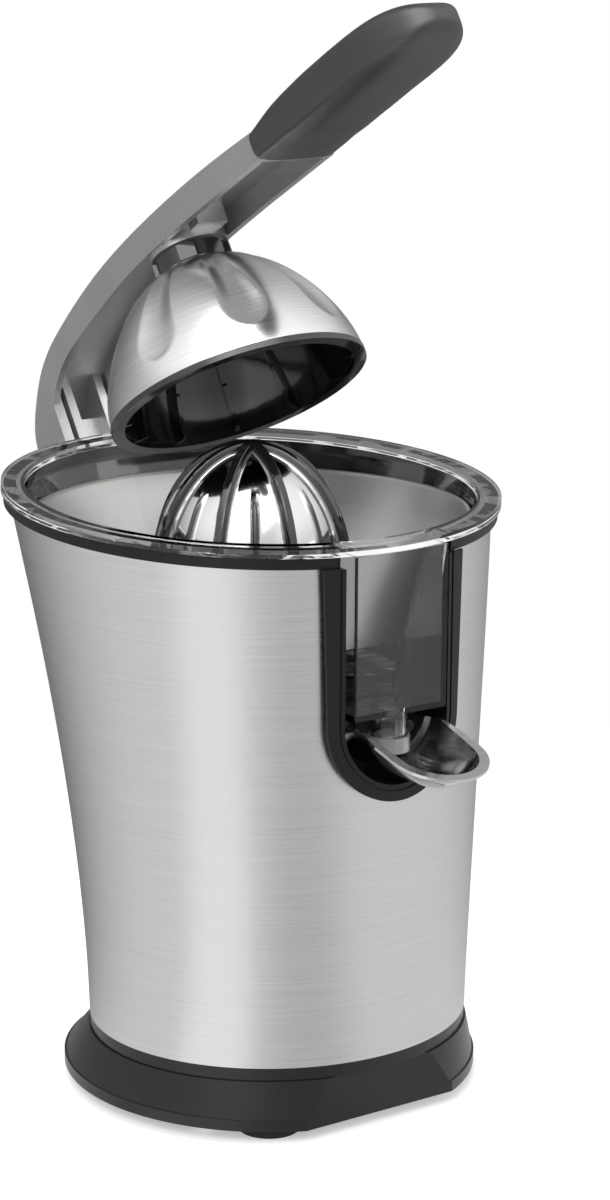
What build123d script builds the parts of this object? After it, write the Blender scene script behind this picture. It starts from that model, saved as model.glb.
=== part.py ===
from build123d import *
from math import acos, cos, pi, radians, sin, sqrt, tan
import os

os.makedirs("parts", exist_ok=True)

# Lever citrus juice press, in millimetres.  +Z is up, the juice spout points to -Y and the
# object is symmetric about X = 0.  The origin is on the table, on the axis of the reamer.

# ---------------------------------------------------------------- driving dimensions
# Rim: the collector's flange lies in a plane that falls a little towards the spout.
shell_top_radius = 94.3
band_overhang = 2.6
flange_overhang = 1.1
band_radius = shell_top_radius + band_overhang
rim_radius = band_radius + flange_overhang
rim_height = 239.6
rim_tilt = 3.3
flange_thickness = 3.3
band_height = 4.5
fit_gap = 0.4
hair_gap = 0.15
running_gap = 0.06

# Steel housing shell: half width, front and rear distance from the axis at both ends.
shell_wall = 1.0
shell_bottom = 29.5
shell_side_bottom = 77.5
shell_front_bottom = 91.0
shell_rear_bottom = 54.0
side_flare = 1.35
rear_flare = 1.9
shell_stations = (29.5, 75.0, 125.0, 170.0, 203.0)

# Base plinth.
base_radius = 83.5
base_centre_y = -12.5
base_edge_bottom = 5.0
base_edge_height = 4.5
base_wall = 2.5
base_front_flat = 88.0
step_bottom = 24.3
deck_thickness = 3.5
lip_height = 4.0
lip_wall = 1.8
plate_thickness = 2.0
foot_radius = 12.0
foot_stem_radius = 4.0
foot_stem_height = 3.0
foot_circle = 66.0
foot_angle = 35.3
gland_z = 16.0
gland_radius = 6.0
gland_bore = 3.4

# Recess for the spout in the front of the housing, and its surround.
recess_z = 165.0
recess_half_width = 24.0
recess_wall = 2.0
recess_back = rim_radius - 24.0
surround_half_width = 30.5
surround_spread = 3.4
surround_plate = 1.2
surround_neck = 28.5
groove_inset = 1.6
groove_width = 1.0
groove_depth = 0.6

# Inner tub, collector and strainer.  The bowls are drawn by how far their walls stand inside
# the shell's top radius at each height.
tub_inset = 1.5
tub_wall = 1.2
tub_floor = 2.5
tub_floor_top = 167.0
tower_radius = 10.5
tower_top = 192.0
collector_wall = 1.5
collector_floor = 2.0
collector_floor_z = 173.5
sleeve_radius = 12.4
sleeve_wall = 1.6
sleeve_top = 194.0
beak_half_width = 21.5
beak_wall = 1.8
beak_front = rim_radius - 0.6
beak_rear = rim_radius - 37.5
beak_bottom = 168.0
beak_join = 5.0
notch_x = 22.6
notch_radius = 1.6
outlet_y = 8.0 - rim_radius
outlet_radius = 7.2
outlet_bore = 5.7
outlet_bottom = 153.8
bowl_insets = ((23.3, 173.5), (21.3, 180.0), (17.7, 192.0), (10.5, 215.0), (6.0, 229.0), (3.9, 236.0))
seal_radius = 8.2
strainer_floor_z = 188.0
strainer_insets = ((23.9, 188.0), (21.9, 194.0), (14.3, 215.0), (9.1, 228.5))
strainer_hole_radius = 16.0
strainer_ledge = 5.0
strainer_wall = 0.8

# Reamer.
cone_radius = 41.0
cone_height = 51.0
cone_base_z = 206.0
cone_skirt_radius = 42.0
cone_skirt_z = 199.0
cone_wall = 3.0
cone_ribs = 8
cone_rib_width = 4.6
cone_rib_depth = 3.4
hub_radius = 8.0

# Drive train, on a line of centres along Y.
shaft_radius = 4.0
shaft_bottom = 124.0
shaft_top = 236.0
gear_module = 1.0
pressure_angle = 20.0
addendum = 0.8
dedendum = 1.25
tooth_share = 0.44
motor_teeth = 10
idler_teeth = 38
small_teeth = 14
output_teeth = 38
case_bottom = 125.0
case_wall = 2.5
case_height = 30.0
case_half_width = 24.5
idler_gear_z = 129.0
output_gear_z = 143.0
gear_face = 10.0
motor_radius = 28.0
motor_length = 74.0
motor_shaft_radius = 2.5
rotor_radius = 22.0
plunger_radius = 7.9
guide_radius = 10.5
guide_bottom = 100.0
stem_radius = 3.0
stem_bottom = 95.0

# Lever.  Its pieces are drawn with the lever level, then raised by the rest angle.
hinge_y = shell_top_radius + 19.7
hinge_z = 227.0
lever_rest_angle = 33.0
lever_half_width = 17.0
lever_wall = 3.0
pin_radius = 3.0
knuckle_radius = 11.0
rib_front = hinge_y - 11.0
rib_inner = 6.1
rib_outer = 9.9
rib_side = 12.4
ear_inner = 10.1
ear_outer = 12.1
ear_radius = 9.5
post_radius = 16.0
post_bottom = 270.5
grip_half_width = 19.0
grip_start = -84.0

# Dome.
dome_radius = 52.0
dome_axis_height = 56.0
dome_fullness = 1.6
dome_height = 53.0
dome_rim_z = 210.0
dome_wall = 3.4
dome_crown = 1.5
dome_dents = 8
dome_dent_turn = 20.0
dome_ring_height = 2.4
dome_ring_width = 5.1
liner_wall = 1.4
liner_ribs = 12
collar_radius = 14.5
dome_bolt_radius = 2.5

# Spout.
spout_radius = 18.5
spout_wall = 1.2
spout_lip_z = 164.2
spout_lip_y = 1.0 - rim_radius
spout_slope = 15.0
spout_rear_y = -recess_back - 6.0
spout_nose_y = -rim_radius - 23.0
spout_flare = 2.6
spout_flare_start = -rim_radius - 10.0
spout_pivot_y = -recess_back - 10.0
spout_pivot_z = 158.0
lining_front = 13.0
lining_wall = 1.6
spout_pin_radius = 2.5

# Screws.
screw_radius = 1.6
screw_head_radius = 3.4
screw_head_height = 2.2
screw_length = 12.0

# ---------------------------------------------------------------- shared geometry
FRONT = Plane.XZ
SIDE = Plane.YZ
RIM = Plane(
    origin=(0, 0, rim_height),
    x_dir=(1, 0, 0),
    z_dir=(0, -sin(radians(rim_tilt)), cos(radians(rim_tilt))),
)
BAND_TOP = RIM.offset(-flange_thickness)
STEEL_TOP = RIM.offset(-flange_thickness - band_height)
steel_top_z = rim_height - flange_thickness - band_height
high = rim_height + 40.0


def save(piece, name):
    """Labels one finished piece and writes it to its own file."""
    piece.part.label = name
    export_step(piece.part, f"parts/{name}.step")


def shell_rear(z):
    """Distance of the shell's rear line from the axis at height z."""
    t = (z - shell_bottom) / (steel_top_z - shell_bottom)
    return shell_rear_bottom + (shell_top_radius - shell_rear_bottom) * t**rear_flare


def oval(z, inset):
    """Adds the housing's oval section at height z, drawn in by inset, to the open sketch."""
    t = (z - shell_bottom) / (steel_top_z - shell_bottom)
    side = shell_side_bottom + (shell_top_radius - shell_side_bottom) * t**side_flare
    front = shell_front_bottom + (shell_top_radius - shell_front_bottom) * t
    rear = shell_rear(z)
    with Locations((0, (rear - front) / 2)):
        Ellipse(side - inset, (rear + front) / 2 - inset)


def housing_form(inset):
    """The housing's outside form as a solid up to the rim plane, drawn in by inset."""
    with BuildPart() as form:
        for z in shell_stations:
            with BuildSketch(Plane.XY.offset(z)):
                oval(z, inset)
        with BuildSketch(STEEL_TOP):
            Circle(shell_top_radius - inset)
        loft()
        with BuildSketch(STEEL_TOP):
            Circle(shell_top_radius - inset)
        extrude(amount=band_height + flange_thickness)
    return form.part


def slot_outline(half_width, spread=0.0):
    """Adds an upright slot with a round lower end, open at the top, to the open sketch.
    Each side leans out by spread at its upper end."""
    top = (half_width + spread, high - recess_z)
    with Locations((0, recess_z)):
        Circle(half_width)
        Polygon((-half_width, 0), (half_width, 0), top, (-top[0], top[1]), align=None)


def screws(points, seat_z, length):
    """Pan-head screws with heads under seat_z and shanks pointing up."""
    with BuildPart() as group:
        with BuildSketch(Plane.XY.offset(seat_z - screw_head_height)):
            with Locations(*points):
                Circle(screw_head_radius)
        extrude(amount=screw_head_height)
        with BuildSketch(Plane.XY.offset(seat_z)):
            with Locations(*points):
                Circle(screw_radius)
        extrude(amount=length)
        with BuildSketch(Plane.XY.offset(seat_z - screw_head_height)):
            with Locations(*points):
                RegularPolygon(1.5, 6)
        extrude(amount=1.2, mode=Mode.SUBTRACT)
    return group


def inside_shell(insets, inward=0.0):
    """Radius and height of each point of a bowl's wall, drawn in by a further distance."""
    return [(shell_top_radius - inset - inward, z) for inset, z in insets]


def bowl(inset, floor_z):
    """The collector's bowl as a solid of revolution, drawn in by inset, down to floor_z."""
    with BuildPart() as form:
        with BuildSketch(SIDE):
            with BuildLine():
                points = inside_shell(bowl_insets, inset)
                curve = Spline(*points)
                Polyline(curve @ 1, (points[-1][0], high), (0, high), (0, points[0][1]), curve @ 0)
            make_face()
        revolve(axis=Axis.Z)
        split(bisect_by=Plane.XY.offset(floor_z), keep=Keep.TOP)
    return form.part


outer_form = housing_form(0.0)

# ---------------------------------------------------------------- base
deck_bottom = shell_bottom - deck_thickness
edge_top = base_edge_bottom + base_edge_height
plate_top = base_edge_bottom + plate_thickness
foot_x = foot_circle * sin(radians(foot_angle))
foot_y = foot_circle * cos(radians(foot_angle))
foot_points = [(x, base_centre_y + y) for x in (-foot_x, foot_x) for y in (-foot_y, foot_y)]
foot_points.append((0.0, 0.0))
leg_points = [(-52.0, -45.0), (52.0, -45.0), (-46.0, 22.0), (46.0, 22.0)]
plate_post_points = [(-60.0, -54.0), (60.0, -54.0), (-54.0, 28.0), (54.0, 28.0)]
plate_post_radius = 4.5
leg_radius = 5.0
idler_y = -gear_module * (small_teeth + output_teeth) / 2
motor_y = idler_y - gear_module * (idler_teeth + motor_teeth) / 2
vent_radius = motor_radius - 3.0
seat_inset = shell_wall + fit_gap


def front_cut(inset):
    """Cuts the open sketch off straight at the plinth's flat front, drawn in by inset."""
    with Locations((0, -base_front_flat + inset)):
        Rectangle(4 * base_radius, 40, align=(Align.CENTER, Align.MAX), mode=Mode.SUBTRACT)


with BuildPart() as base_plinth:
    # Edge band, then the skirt rising to the foot of the shell.
    with BuildSketch(Plane.XY.offset(base_edge_bottom)):
        with Locations((0, base_centre_y)):
            Circle(base_radius)
        front_cut(0)
    extrude(amount=base_edge_height)
    with BuildSketch(Plane.XY.offset(edge_top)):
        with Locations((0, base_centre_y)):
            Circle(base_radius - 0.6)
    with BuildSketch(Plane.XY.offset(step_bottom)):
        oval(shell_bottom, -0.6)
    loft()
    with BuildSketch(Plane.XY.offset(edge_top)):
        with Locations((0, -base_front_flat)):
            Rectangle(4 * base_radius, 40, align=(Align.CENTER, Align.MAX))
    extrude(amount=step_bottom - edge_top, mode=Mode.SUBTRACT)
    # Hollow underside.
    with BuildSketch(Plane.XY.offset(base_edge_bottom)):
        with Locations((0, base_centre_y)):
            Circle(base_radius - base_wall)
        front_cut(base_wall)
    extrude(amount=base_edge_height, mode=Mode.SUBTRACT)
    with BuildPart(mode=Mode.PRIVATE) as plinth_room:
        with BuildSketch(Plane.XY.offset(edge_top)):
            with Locations((0, base_centre_y)):
                Circle(base_radius - base_wall - 0.6)
        with BuildSketch(Plane.XY.offset(deck_bottom)):
            oval(shell_bottom, base_wall)
        loft()
        with BuildSketch(Plane.XY.offset(edge_top)):
            with Locations((0, -base_front_flat + base_wall)):
                Rectangle(4 * base_radius, 40, align=(Align.CENTER, Align.MAX))
        extrude(amount=deck_bottom - edge_top, mode=Mode.SUBTRACT)
    add(plinth_room.part, mode=Mode.SUBTRACT)
    # Step band and deck that the housing stands on.
    with BuildSketch(Plane.XY.offset(step_bottom)):
        oval(shell_bottom, 0.2)
    extrude(amount=shell_bottom - step_bottom)
    with BuildSketch(Plane.XY.offset(step_bottom)):
        oval(shell_bottom, base_wall + 1.5)
    extrude(amount=deck_bottom - step_bottom, mode=Mode.SUBTRACT)
    # Lip that the steel shell slips over.
    with BuildSketch(Plane.XY.offset(shell_bottom)):
        oval(shell_bottom + lip_height / 2, seat_inset)
    extrude(amount=lip_height)
    with BuildSketch(Plane.XY.offset(shell_bottom)):
        oval(shell_bottom, seat_inset + lip_wall)
    extrude(amount=lip_height, mode=Mode.SUBTRACT)
    # Posts for the base plate, hung from the deck.
    with BuildSketch(Plane.XY.offset(plate_top)):
        with Locations(*plate_post_points):
            Circle(plate_post_radius)
    extrude(amount=deck_bottom - plate_top)
    with BuildSketch(Plane.XY.offset(plate_top)):
        with Locations(*plate_post_points):
            Circle(screw_radius)
    extrude(amount=screw_length, mode=Mode.SUBTRACT)
    # Deck holes for the leg screws and for the motor's air.
    with BuildSketch(Plane.XY.offset(deck_bottom)):
        with Locations(*leg_points):
            Circle(screw_radius + hair_gap)
        with Locations((0, motor_y)):
            Circle(vent_radius)
    extrude(amount=deck_thickness, mode=Mode.SUBTRACT)
    # Cord inlet in the rear of the skirt.
    with BuildSketch(FRONT.offset(-50)):
        with Locations((0, gland_z)):
            Circle(gland_radius)
    extrude(amount=-40, mode=Mode.SUBTRACT)
save(base_plinth, "base_plinth")

gland_inner_y = 55.0
gland_outer_y = base_centre_y + base_radius + 1.5
with BuildPart() as cord_gland:
    # Bush for the mains lead.
    with BuildSketch(FRONT.offset(-gland_outer_y)):
        with Locations((0, gland_z)):
            Circle(gland_radius)
            Circle(gland_bore, mode=Mode.SUBTRACT)
    extrude(amount=gland_outer_y - gland_inner_y)
save(cord_gland, "cord_gland")

with BuildPart() as base_plate:
    # Floor of the plinth, with air slots under the motor.
    with BuildSketch(Plane.XY.offset(base_edge_bottom)):
        with Locations((0, base_centre_y)):
            Circle(base_radius - base_wall - fit_gap)
        front_cut(base_wall + fit_gap)
        with Locations(*foot_points):
            Circle(foot_stem_radius, mode=Mode.SUBTRACT)
        with Locations(*plate_post_points):
            Circle(screw_radius + hair_gap, mode=Mode.SUBTRACT)
        with Locations((0, motor_y)):
            with GridLocations(0, 7.0, 1, 5):
                SlotOverall(34.0, 3.0, mode=Mode.SUBTRACT)
    extrude(amount=plate_thickness)
save(base_plate, "base_plate")

with BuildPart() as base_feet:
    # Rubber feet, each with a stem through the base plate.
    with BuildSketch(Plane.XY):
        with Locations(*foot_points):
            Circle(foot_radius)
    extrude(amount=base_edge_bottom, taper=6)
    with BuildSketch(Plane.XY.offset(base_edge_bottom)):
        with Locations(*foot_points):
            Circle(foot_stem_radius)
    extrude(amount=foot_stem_height)
save(base_feet, "base_feet")

save(screws(plate_post_points, base_edge_bottom, screw_length), "base_screws")
save(screws(leg_points, deck_bottom, screw_length), "leg_screws")

# ---------------------------------------------------------------- housing shell and rim
bracket_screw_z = 198.0
bracket_screw_x = 6.2


def bracket_holes(radius):
    """Two pegs at the hinge bracket's screws, long enough to pass through the rear wall."""
    with BuildPart() as pegs:
        with BuildSketch(FRONT.offset(-70)):
            with Locations((-bracket_screw_x, bracket_screw_z), (bracket_screw_x, bracket_screw_z)):
                Circle(radius)
        extrude(amount=-30)
    return pegs.part


with BuildPart() as housing_shell:
    add(outer_form)
    add(housing_form(shell_wall), mode=Mode.SUBTRACT)
    split(bisect_by=STEEL_TOP, keep=Keep.BOTTOM)
    # Slot for the spout recess.
    with BuildSketch(FRONT.offset(60)):
        slot_outline(recess_half_width + recess_wall + fit_gap)
    extrude(amount=60, mode=Mode.SUBTRACT)
    add(bracket_holes(screw_radius + hair_gap), mode=Mode.SUBTRACT)
save(housing_shell, "housing_shell")

with BuildPart() as rim_band:
    # Plastic band that lies on the top edges of the shell and the tub.
    with BuildSketch(STEEL_TOP):
        Circle(band_radius)
        Circle(shell_top_radius - tub_inset - tub_wall + fit_gap, mode=Mode.SUBTRACT)
    extrude(amount=band_height)
    with BuildSketch(FRONT.offset(60)):
        slot_outline(recess_half_width + recess_wall + fit_gap)
    extrude(amount=60, mode=Mode.SUBTRACT)
save(rim_band, "rim_band")

# ---------------------------------------------------------------- spout surround
with BuildPart() as spout_surround:
    # Neck that stands out of the steel and carries the trim.
    with BuildSketch(FRONT.offset(recess_back)):
        slot_outline(surround_neck)
        with BuildSketch(mode=Mode.PRIVATE) as trim_hole:
            slot_outline(recess_half_width)
        add(trim_hole.sketch, mode=Mode.SUBTRACT)
    extrude(amount=60)
    Cylinder(rim_radius - surround_plate / 2, 2 * high, mode=Mode.INTERSECT)
    # Thin trim plate curved like the rim, with a groove beside the opening.
    with BuildPart(mode=Mode.PRIVATE) as trim:
        with BuildSketch(FRONT.offset(recess_back)):
            slot_outline(surround_half_width, surround_spread)
            add(trim_hole.sketch, mode=Mode.SUBTRACT)
        extrude(amount=60)
        Cylinder(rim_radius, 2 * high, mode=Mode.INTERSECT)
        Cylinder(rim_radius - surround_plate, 2 * high, mode=Mode.SUBTRACT)
        with BuildPart(mode=Mode.PRIVATE) as groove:
            with BuildSketch(FRONT.offset(recess_back)):
                slot_outline(recess_half_width + groove_inset + groove_width)
                with BuildSketch(mode=Mode.PRIVATE) as groove_hole:
                    slot_outline(recess_half_width + groove_inset)
                add(groove_hole.sketch, mode=Mode.SUBTRACT)
            extrude(amount=60)
            Cylinder(rim_radius - groove_depth, 2 * high, mode=Mode.SUBTRACT)
        add(groove.part, mode=Mode.SUBTRACT)
    add(trim.part)
    add(outer_form, mode=Mode.SUBTRACT)
    split(bisect_by=STEEL_TOP, keep=Keep.BOTTOM)
    # Walls of the recess, through the slot in the steel.
    with BuildPart(mode=Mode.PRIVATE) as recess_walls:
        with BuildSketch(FRONT.offset(recess_back)):
            slot_outline(recess_half_width + recess_wall)
            add(trim_hole.sketch, mode=Mode.SUBTRACT)
        extrude(amount=60)
        add(housing_form(-0.5), mode=Mode.INTERSECT)
        add(bowl(-fit_gap, collector_floor_z - fit_gap), mode=Mode.SUBTRACT)
        split(bisect_by=BAND_TOP, keep=Keep.BOTTOM)
    add(recess_walls.part)
    # Back of the recess, below the collector's beak.
    with BuildSketch(FRONT.offset(recess_back)):
        slot_outline(recess_half_width + recess_wall)
        with Locations((0, beak_bottom - fit_gap)):
            Rectangle(90, 120, align=(Align.CENTER, Align.MIN), mode=Mode.SUBTRACT)
    extrude(amount=-recess_wall)
    # Holes for the spout's pivot pins.
    with BuildSketch(SIDE.offset(-40)):
        with Locations((spout_pivot_y, spout_pivot_z)):
            Circle(spout_pin_radius + running_gap)
    extrude(amount=80, mode=Mode.SUBTRACT)
save(spout_surround, "spout_surround")

# ---------------------------------------------------------------- inner tub
tub_post_points = [(-19.0, 14.0), (19.0, 14.0), (-19.0, -48.0), (19.0, -48.0)]
case_top = case_bottom + case_height
cover_top = case_top + case_wall
tub_low = tub_floor_top - tub_floor
bush_radius = tower_radius - 3.5
with BuildPart() as inner_tub:
    add(housing_form(tub_inset))
    add(housing_form(tub_inset + tub_wall), mode=Mode.SUBTRACT)
    split(bisect_by=STEEL_TOP, keep=Keep.BOTTOM)
    split(bisect_by=Plane.XY.offset(tub_low), keep=Keep.TOP)
    # Floor, cut to the same oval.
    with BuildSketch(Plane.XY.offset(tub_low)):
        oval(tub_low, tub_inset + tub_wall / 2)
    extrude(amount=tub_floor)
    # Room for the spout recess and the collector's beak.
    with BuildSketch(FRONT.offset(recess_back - recess_wall - fit_gap)):
        with Locations((0, tub_low)):
            Rectangle(
                2 * (recess_half_width + recess_wall + fit_gap), 100, align=(Align.CENTER, Align.MIN)
            )
    extrude(amount=60, mode=Mode.SUBTRACT)
    # Tower round the drive shaft, and posts that stand on the gearbox.
    with BuildSketch(Plane.XY.offset(tub_low)):
        Circle(tower_radius)
    extrude(amount=tower_top - tub_low)
    with BuildSketch(Plane.XY.offset(cover_top)):
        with Locations(*tub_post_points):
            Circle(3.5)
    extrude(amount=tub_low - cover_top)
    with BuildSketch(Plane.XY.offset(tub_low)):
        Circle(bush_radius)
    extrude(amount=tower_top - tub_low, mode=Mode.SUBTRACT)
    add(bracket_holes(screw_radius), mode=Mode.SUBTRACT)
save(inner_tub, "inner_tub")

with BuildPart() as shaft_bush:
    # Sintered bush with a flange that bears under the tub's tower.
    with BuildSketch(Plane.XY.offset(tub_low - 2)):
        Circle(bush_radius + 2)
    extrude(amount=2)
    with BuildSketch(Plane.XY.offset(tub_low)):
        Circle(bush_radius)
    extrude(amount=tower_top - 3 - tub_low)
    with BuildSketch(Plane.XY.offset(tub_low - 2)):
        Circle(shaft_radius + running_gap)
    extrude(amount=tower_top, mode=Mode.SUBTRACT)
save(shaft_bush, "shaft_bush")

with BuildPart() as shaft_seal:
    # Rubber seal in the mouth of the tower.
    with BuildSketch(Plane.XY.offset(tower_top - 3)):
        Circle(bush_radius)
    extrude(amount=3)
    with BuildSketch(Plane.XY.offset(tower_top)):
        Circle(bush_radius + 2)
    extrude(amount=1.2)
    with BuildSketch(Plane.XY.offset(tower_top - 3)):
        Circle(shaft_radius + running_gap)
    extrude(amount=10, mode=Mode.SUBTRACT)
save(shaft_seal, "shaft_seal")

# ---------------------------------------------------------------- juice collector
with BuildPart() as clear_moulding:
    add(bowl(0.0, collector_floor_z))
    # Beak that reaches through the housing to the front.
    with BuildSketch(Plane.XY.offset(beak_bottom)):
        with Locations((0, -beak_rear)):
            Rectangle(2 * beak_half_width, beak_front - beak_rear, align=(Align.CENTER, Align.MAX))
    extrude(amount=high - beak_bottom)
    split(bisect_by=BAND_TOP, keep=Keep.BOTTOM)
    with BuildSketch(BAND_TOP):
        Circle(rim_radius)
        with Locations((-notch_x, -rim_radius), (notch_x, -rim_radius)):
            Circle(notch_radius, mode=Mode.SUBTRACT)
    extrude(amount=flange_thickness)
    add(bowl(collector_wall, collector_floor_z + collector_floor), mode=Mode.SUBTRACT)
    # Channel inside the beak.
    channel_rear = beak_rear + beak_wall
    with BuildPart(mode=Mode.PRIVATE) as channel:
        with BuildSketch(Plane.XY.offset(beak_bottom + collector_floor)):
            with Locations((0, -channel_rear)):
                Rectangle(
                    2 * (beak_half_width - beak_wall),
                    beak_front - beak_wall - channel_rear,
                    align=(Align.CENTER, Align.MAX),
                )
        extrude(amount=80)
        split(bisect_by=BAND_TOP, keep=Keep.BOTTOM)
    add(channel.part, mode=Mode.SUBTRACT)
    # Outlet tube under the beak.
    with BuildSketch(Plane.XY.offset(outlet_bottom)):
        with Locations((0, outlet_y)):
            Circle(outlet_radius)
    extrude(amount=beak_bottom - outlet_bottom)
    with BuildSketch(Plane.XY.offset(outlet_bottom)):
        with Locations((0, outlet_y)):
            Circle(outlet_bore)
    extrude(amount=beak_bottom + collector_floor - outlet_bottom, mode=Mode.SUBTRACT)
    # Sleeve round the tower, and ribs that carry the strainer.
    with BuildSketch(Plane.XY.offset(collector_floor_z)):
        Circle(sleeve_radius + sleeve_wall)
    extrude(amount=sleeve_top - collector_floor_z)
    with BuildSketch(Plane.XY.offset(collector_floor_z)):
        for turn in (45, 135, 225, 315):
            with Locations(Location((0, 0, 0), (0, 0, turn))):
                with Locations((40, 0)):
                    Rectangle(50, 2)
    extrude(amount=strainer_floor_z - collector_floor_z)
    with BuildSketch(Plane.XY.offset(collector_floor_z)):
        Circle(sleeve_radius)
    extrude(amount=sleeve_top - collector_floor_z, mode=Mode.SUBTRACT)

with BuildPart() as beak_block:
    # Space that holds the beak below the flange.
    with BuildSketch(Plane.XY.offset(outlet_bottom)):
        with Locations((0, -beak_rear - beak_join)):
            Rectangle(2 * beak_half_width + 2, rim_radius, align=(Align.CENTER, Align.MAX))
    extrude(amount=high - outlet_bottom)
    split(bisect_by=BAND_TOP, keep=Keep.BOTTOM)

with BuildPart() as juice_collector:
    # Bowl and flange.
    add(clear_moulding.part)
    add(beak_block.part, mode=Mode.SUBTRACT)
save(juice_collector, "juice_collector")

with BuildPart() as collector_beak:
    # Beak and outlet tube, of one moulding with the bowl.
    add(clear_moulding.part)
    add(beak_block.part, mode=Mode.INTERSECT)
save(collector_beak, "collector_beak")

with BuildPart() as outlet_seal:
    # Soft ring on the end of the outlet tube.
    with BuildSketch(Plane.XY.offset(outlet_bottom - 1)):
        with Locations((0, outlet_y)):
            Circle(seal_radius)
    extrude(amount=6)
    with BuildSketch(Plane.XY.offset(outlet_bottom)):
        with Locations((0, outlet_y)):
            Circle(outlet_radius)
    extrude(amount=6, mode=Mode.SUBTRACT)
    with BuildSketch(Plane.XY.offset(outlet_bottom - 1)):
        with Locations((0, outlet_y)):
            Circle(outlet_bore)
    extrude(amount=6, mode=Mode.SUBTRACT)
save(outlet_seal, "outlet_seal")

# ---------------------------------------------------------------- strainer
with BuildPart() as strainer:
    # Pressed steel wall with a ledge at its foot for the perforated floor.
    with BuildSketch(SIDE):
        with BuildLine():
            outside = inside_shell(strainer_insets)
            inside = inside_shell(strainer_insets, strainer_wall)
            ledge_radius = outside[0][0] - strainer_ledge
            wall = Spline(*outside)
            Line(wall @ 1, inside[-1])
            floor_seat = (inside[0][0], strainer_floor_z + strainer_wall)
            inner = Spline(*reversed(inside[1:]), floor_seat)
            Polyline(
                inner @ 1,
                (ledge_radius, strainer_floor_z + strainer_wall),
                (ledge_radius, strainer_floor_z),
                wall @ 0,
            )
        make_face()
    revolve(axis=Axis.Z)
    # Rolled rim.
    strainer_rim_radius, strainer_rim_z = outside[-1]
    with BuildSketch(Plane.XY.offset(strainer_rim_z)):
        Circle(strainer_rim_radius + strainer_wall)
        Circle(strainer_rim_radius - strainer_wall, mode=Mode.SUBTRACT)
    extrude(amount=1.2)
save(strainer, "strainer")

with BuildPart() as strainer_floor:
    # Perforated disc welded on the ledge, with a raised collar round its middle hole.
    strainer_disc_z = strainer_floor_z + strainer_wall
    with BuildSketch(Plane.XY.offset(strainer_disc_z)):
        Circle(inside[0][0] - hair_gap)
        Circle(strainer_hole_radius, mode=Mode.SUBTRACT)
        for ring_radius, slot_count in ((30.0, 24), (44.0, 36), (58.0, 48)):
            with PolarLocations(ring_radius, slot_count):
                SlotOverall(9.0, 1.6, mode=Mode.SUBTRACT)
    extrude(amount=strainer_wall)
    with BuildSketch(Plane.XY.offset(strainer_disc_z)):
        Circle(strainer_hole_radius + strainer_wall)
        Circle(strainer_hole_radius, mode=Mode.SUBTRACT)
    extrude(amount=3.0)
save(strainer_floor, "strainer_floor")


# ---------------------------------------------------------------- reamer and drive shaft
def cone_form(inset, wall_top):
    """Reamer of revolution drawn in by inset, cut off flat at the skirt's lower edge."""
    with BuildPart() as form:
        with BuildSketch(SIDE):
            with BuildLine():
                width = cone_radius - inset
                tip = cone_height - wall_top
                heights = [tip * i / 6 for i in range(6)]
                points = [(width * sqrt(1 - (h / tip) ** 2), cone_base_z + h) for h in heights]
                curve = Spline(*points, (0, cone_base_z + tip), tangents=((0, 1), (-1, 0)))
                Polyline(
                    curve @ 1,
                    (0, cone_skirt_z),
                    (width + cone_skirt_radius - cone_radius, cone_skirt_z),
                    curve @ 0,
                )
            make_face()
        revolve(axis=Axis.Z)
    return form.part


with BuildPart() as reamer_cone:
    # Ribs: the full form kept only where the radial slabs cross it.
    with BuildSketch(Plane.XY.offset(cone_skirt_z)):
        for i in range(cone_ribs // 2):
            with Locations(Location((0, 0, 0), (0, 0, 360 * i / cone_ribs + 10))):
                Rectangle(3 * cone_radius, cone_rib_width)
        Circle(6)
    extrude(amount=cone_height + 20)
    add(cone_form(0.0, 0.0), mode=Mode.INTERSECT)
    # Flank between the ribs, and the skirt ring at the foot.
    add(cone_form(cone_rib_depth, cone_rib_depth))
    with BuildSketch(Plane.XY.offset(cone_skirt_z)):
        Circle(cone_skirt_radius)
    extrude(amount=3.5)
    # Hollow inside, with a hub on the shaft.
    add(cone_form(cone_rib_depth + cone_wall, cone_rib_depth + cone_wall), mode=Mode.SUBTRACT)
    with BuildSketch(Plane.XY.offset(cone_skirt_z)):
        Circle(hub_radius)
    extrude(amount=cone_base_z + cone_height - 6 - cone_skirt_z)
    with BuildSketch(Plane.XY.offset(cone_skirt_z)):
        Circle(shaft_radius)
    extrude(amount=shaft_top - cone_skirt_z, mode=Mode.SUBTRACT)
save(reamer_cone, "reamer_cone")

with BuildPart() as drive_shaft:
    with BuildSketch(Plane.XY.offset(shaft_bottom)):
        Circle(shaft_radius)
    extrude(amount=shaft_top - shaft_bottom)
    chamfer(drive_shaft.edges().filter_by(GeomType.CIRCLE), 0.5)
save(drive_shaft, "drive_shaft")


# ---------------------------------------------------------------- gears
def involute(angle):
    """Involute function of an angle in radians."""
    return tan(angle) - angle


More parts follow.
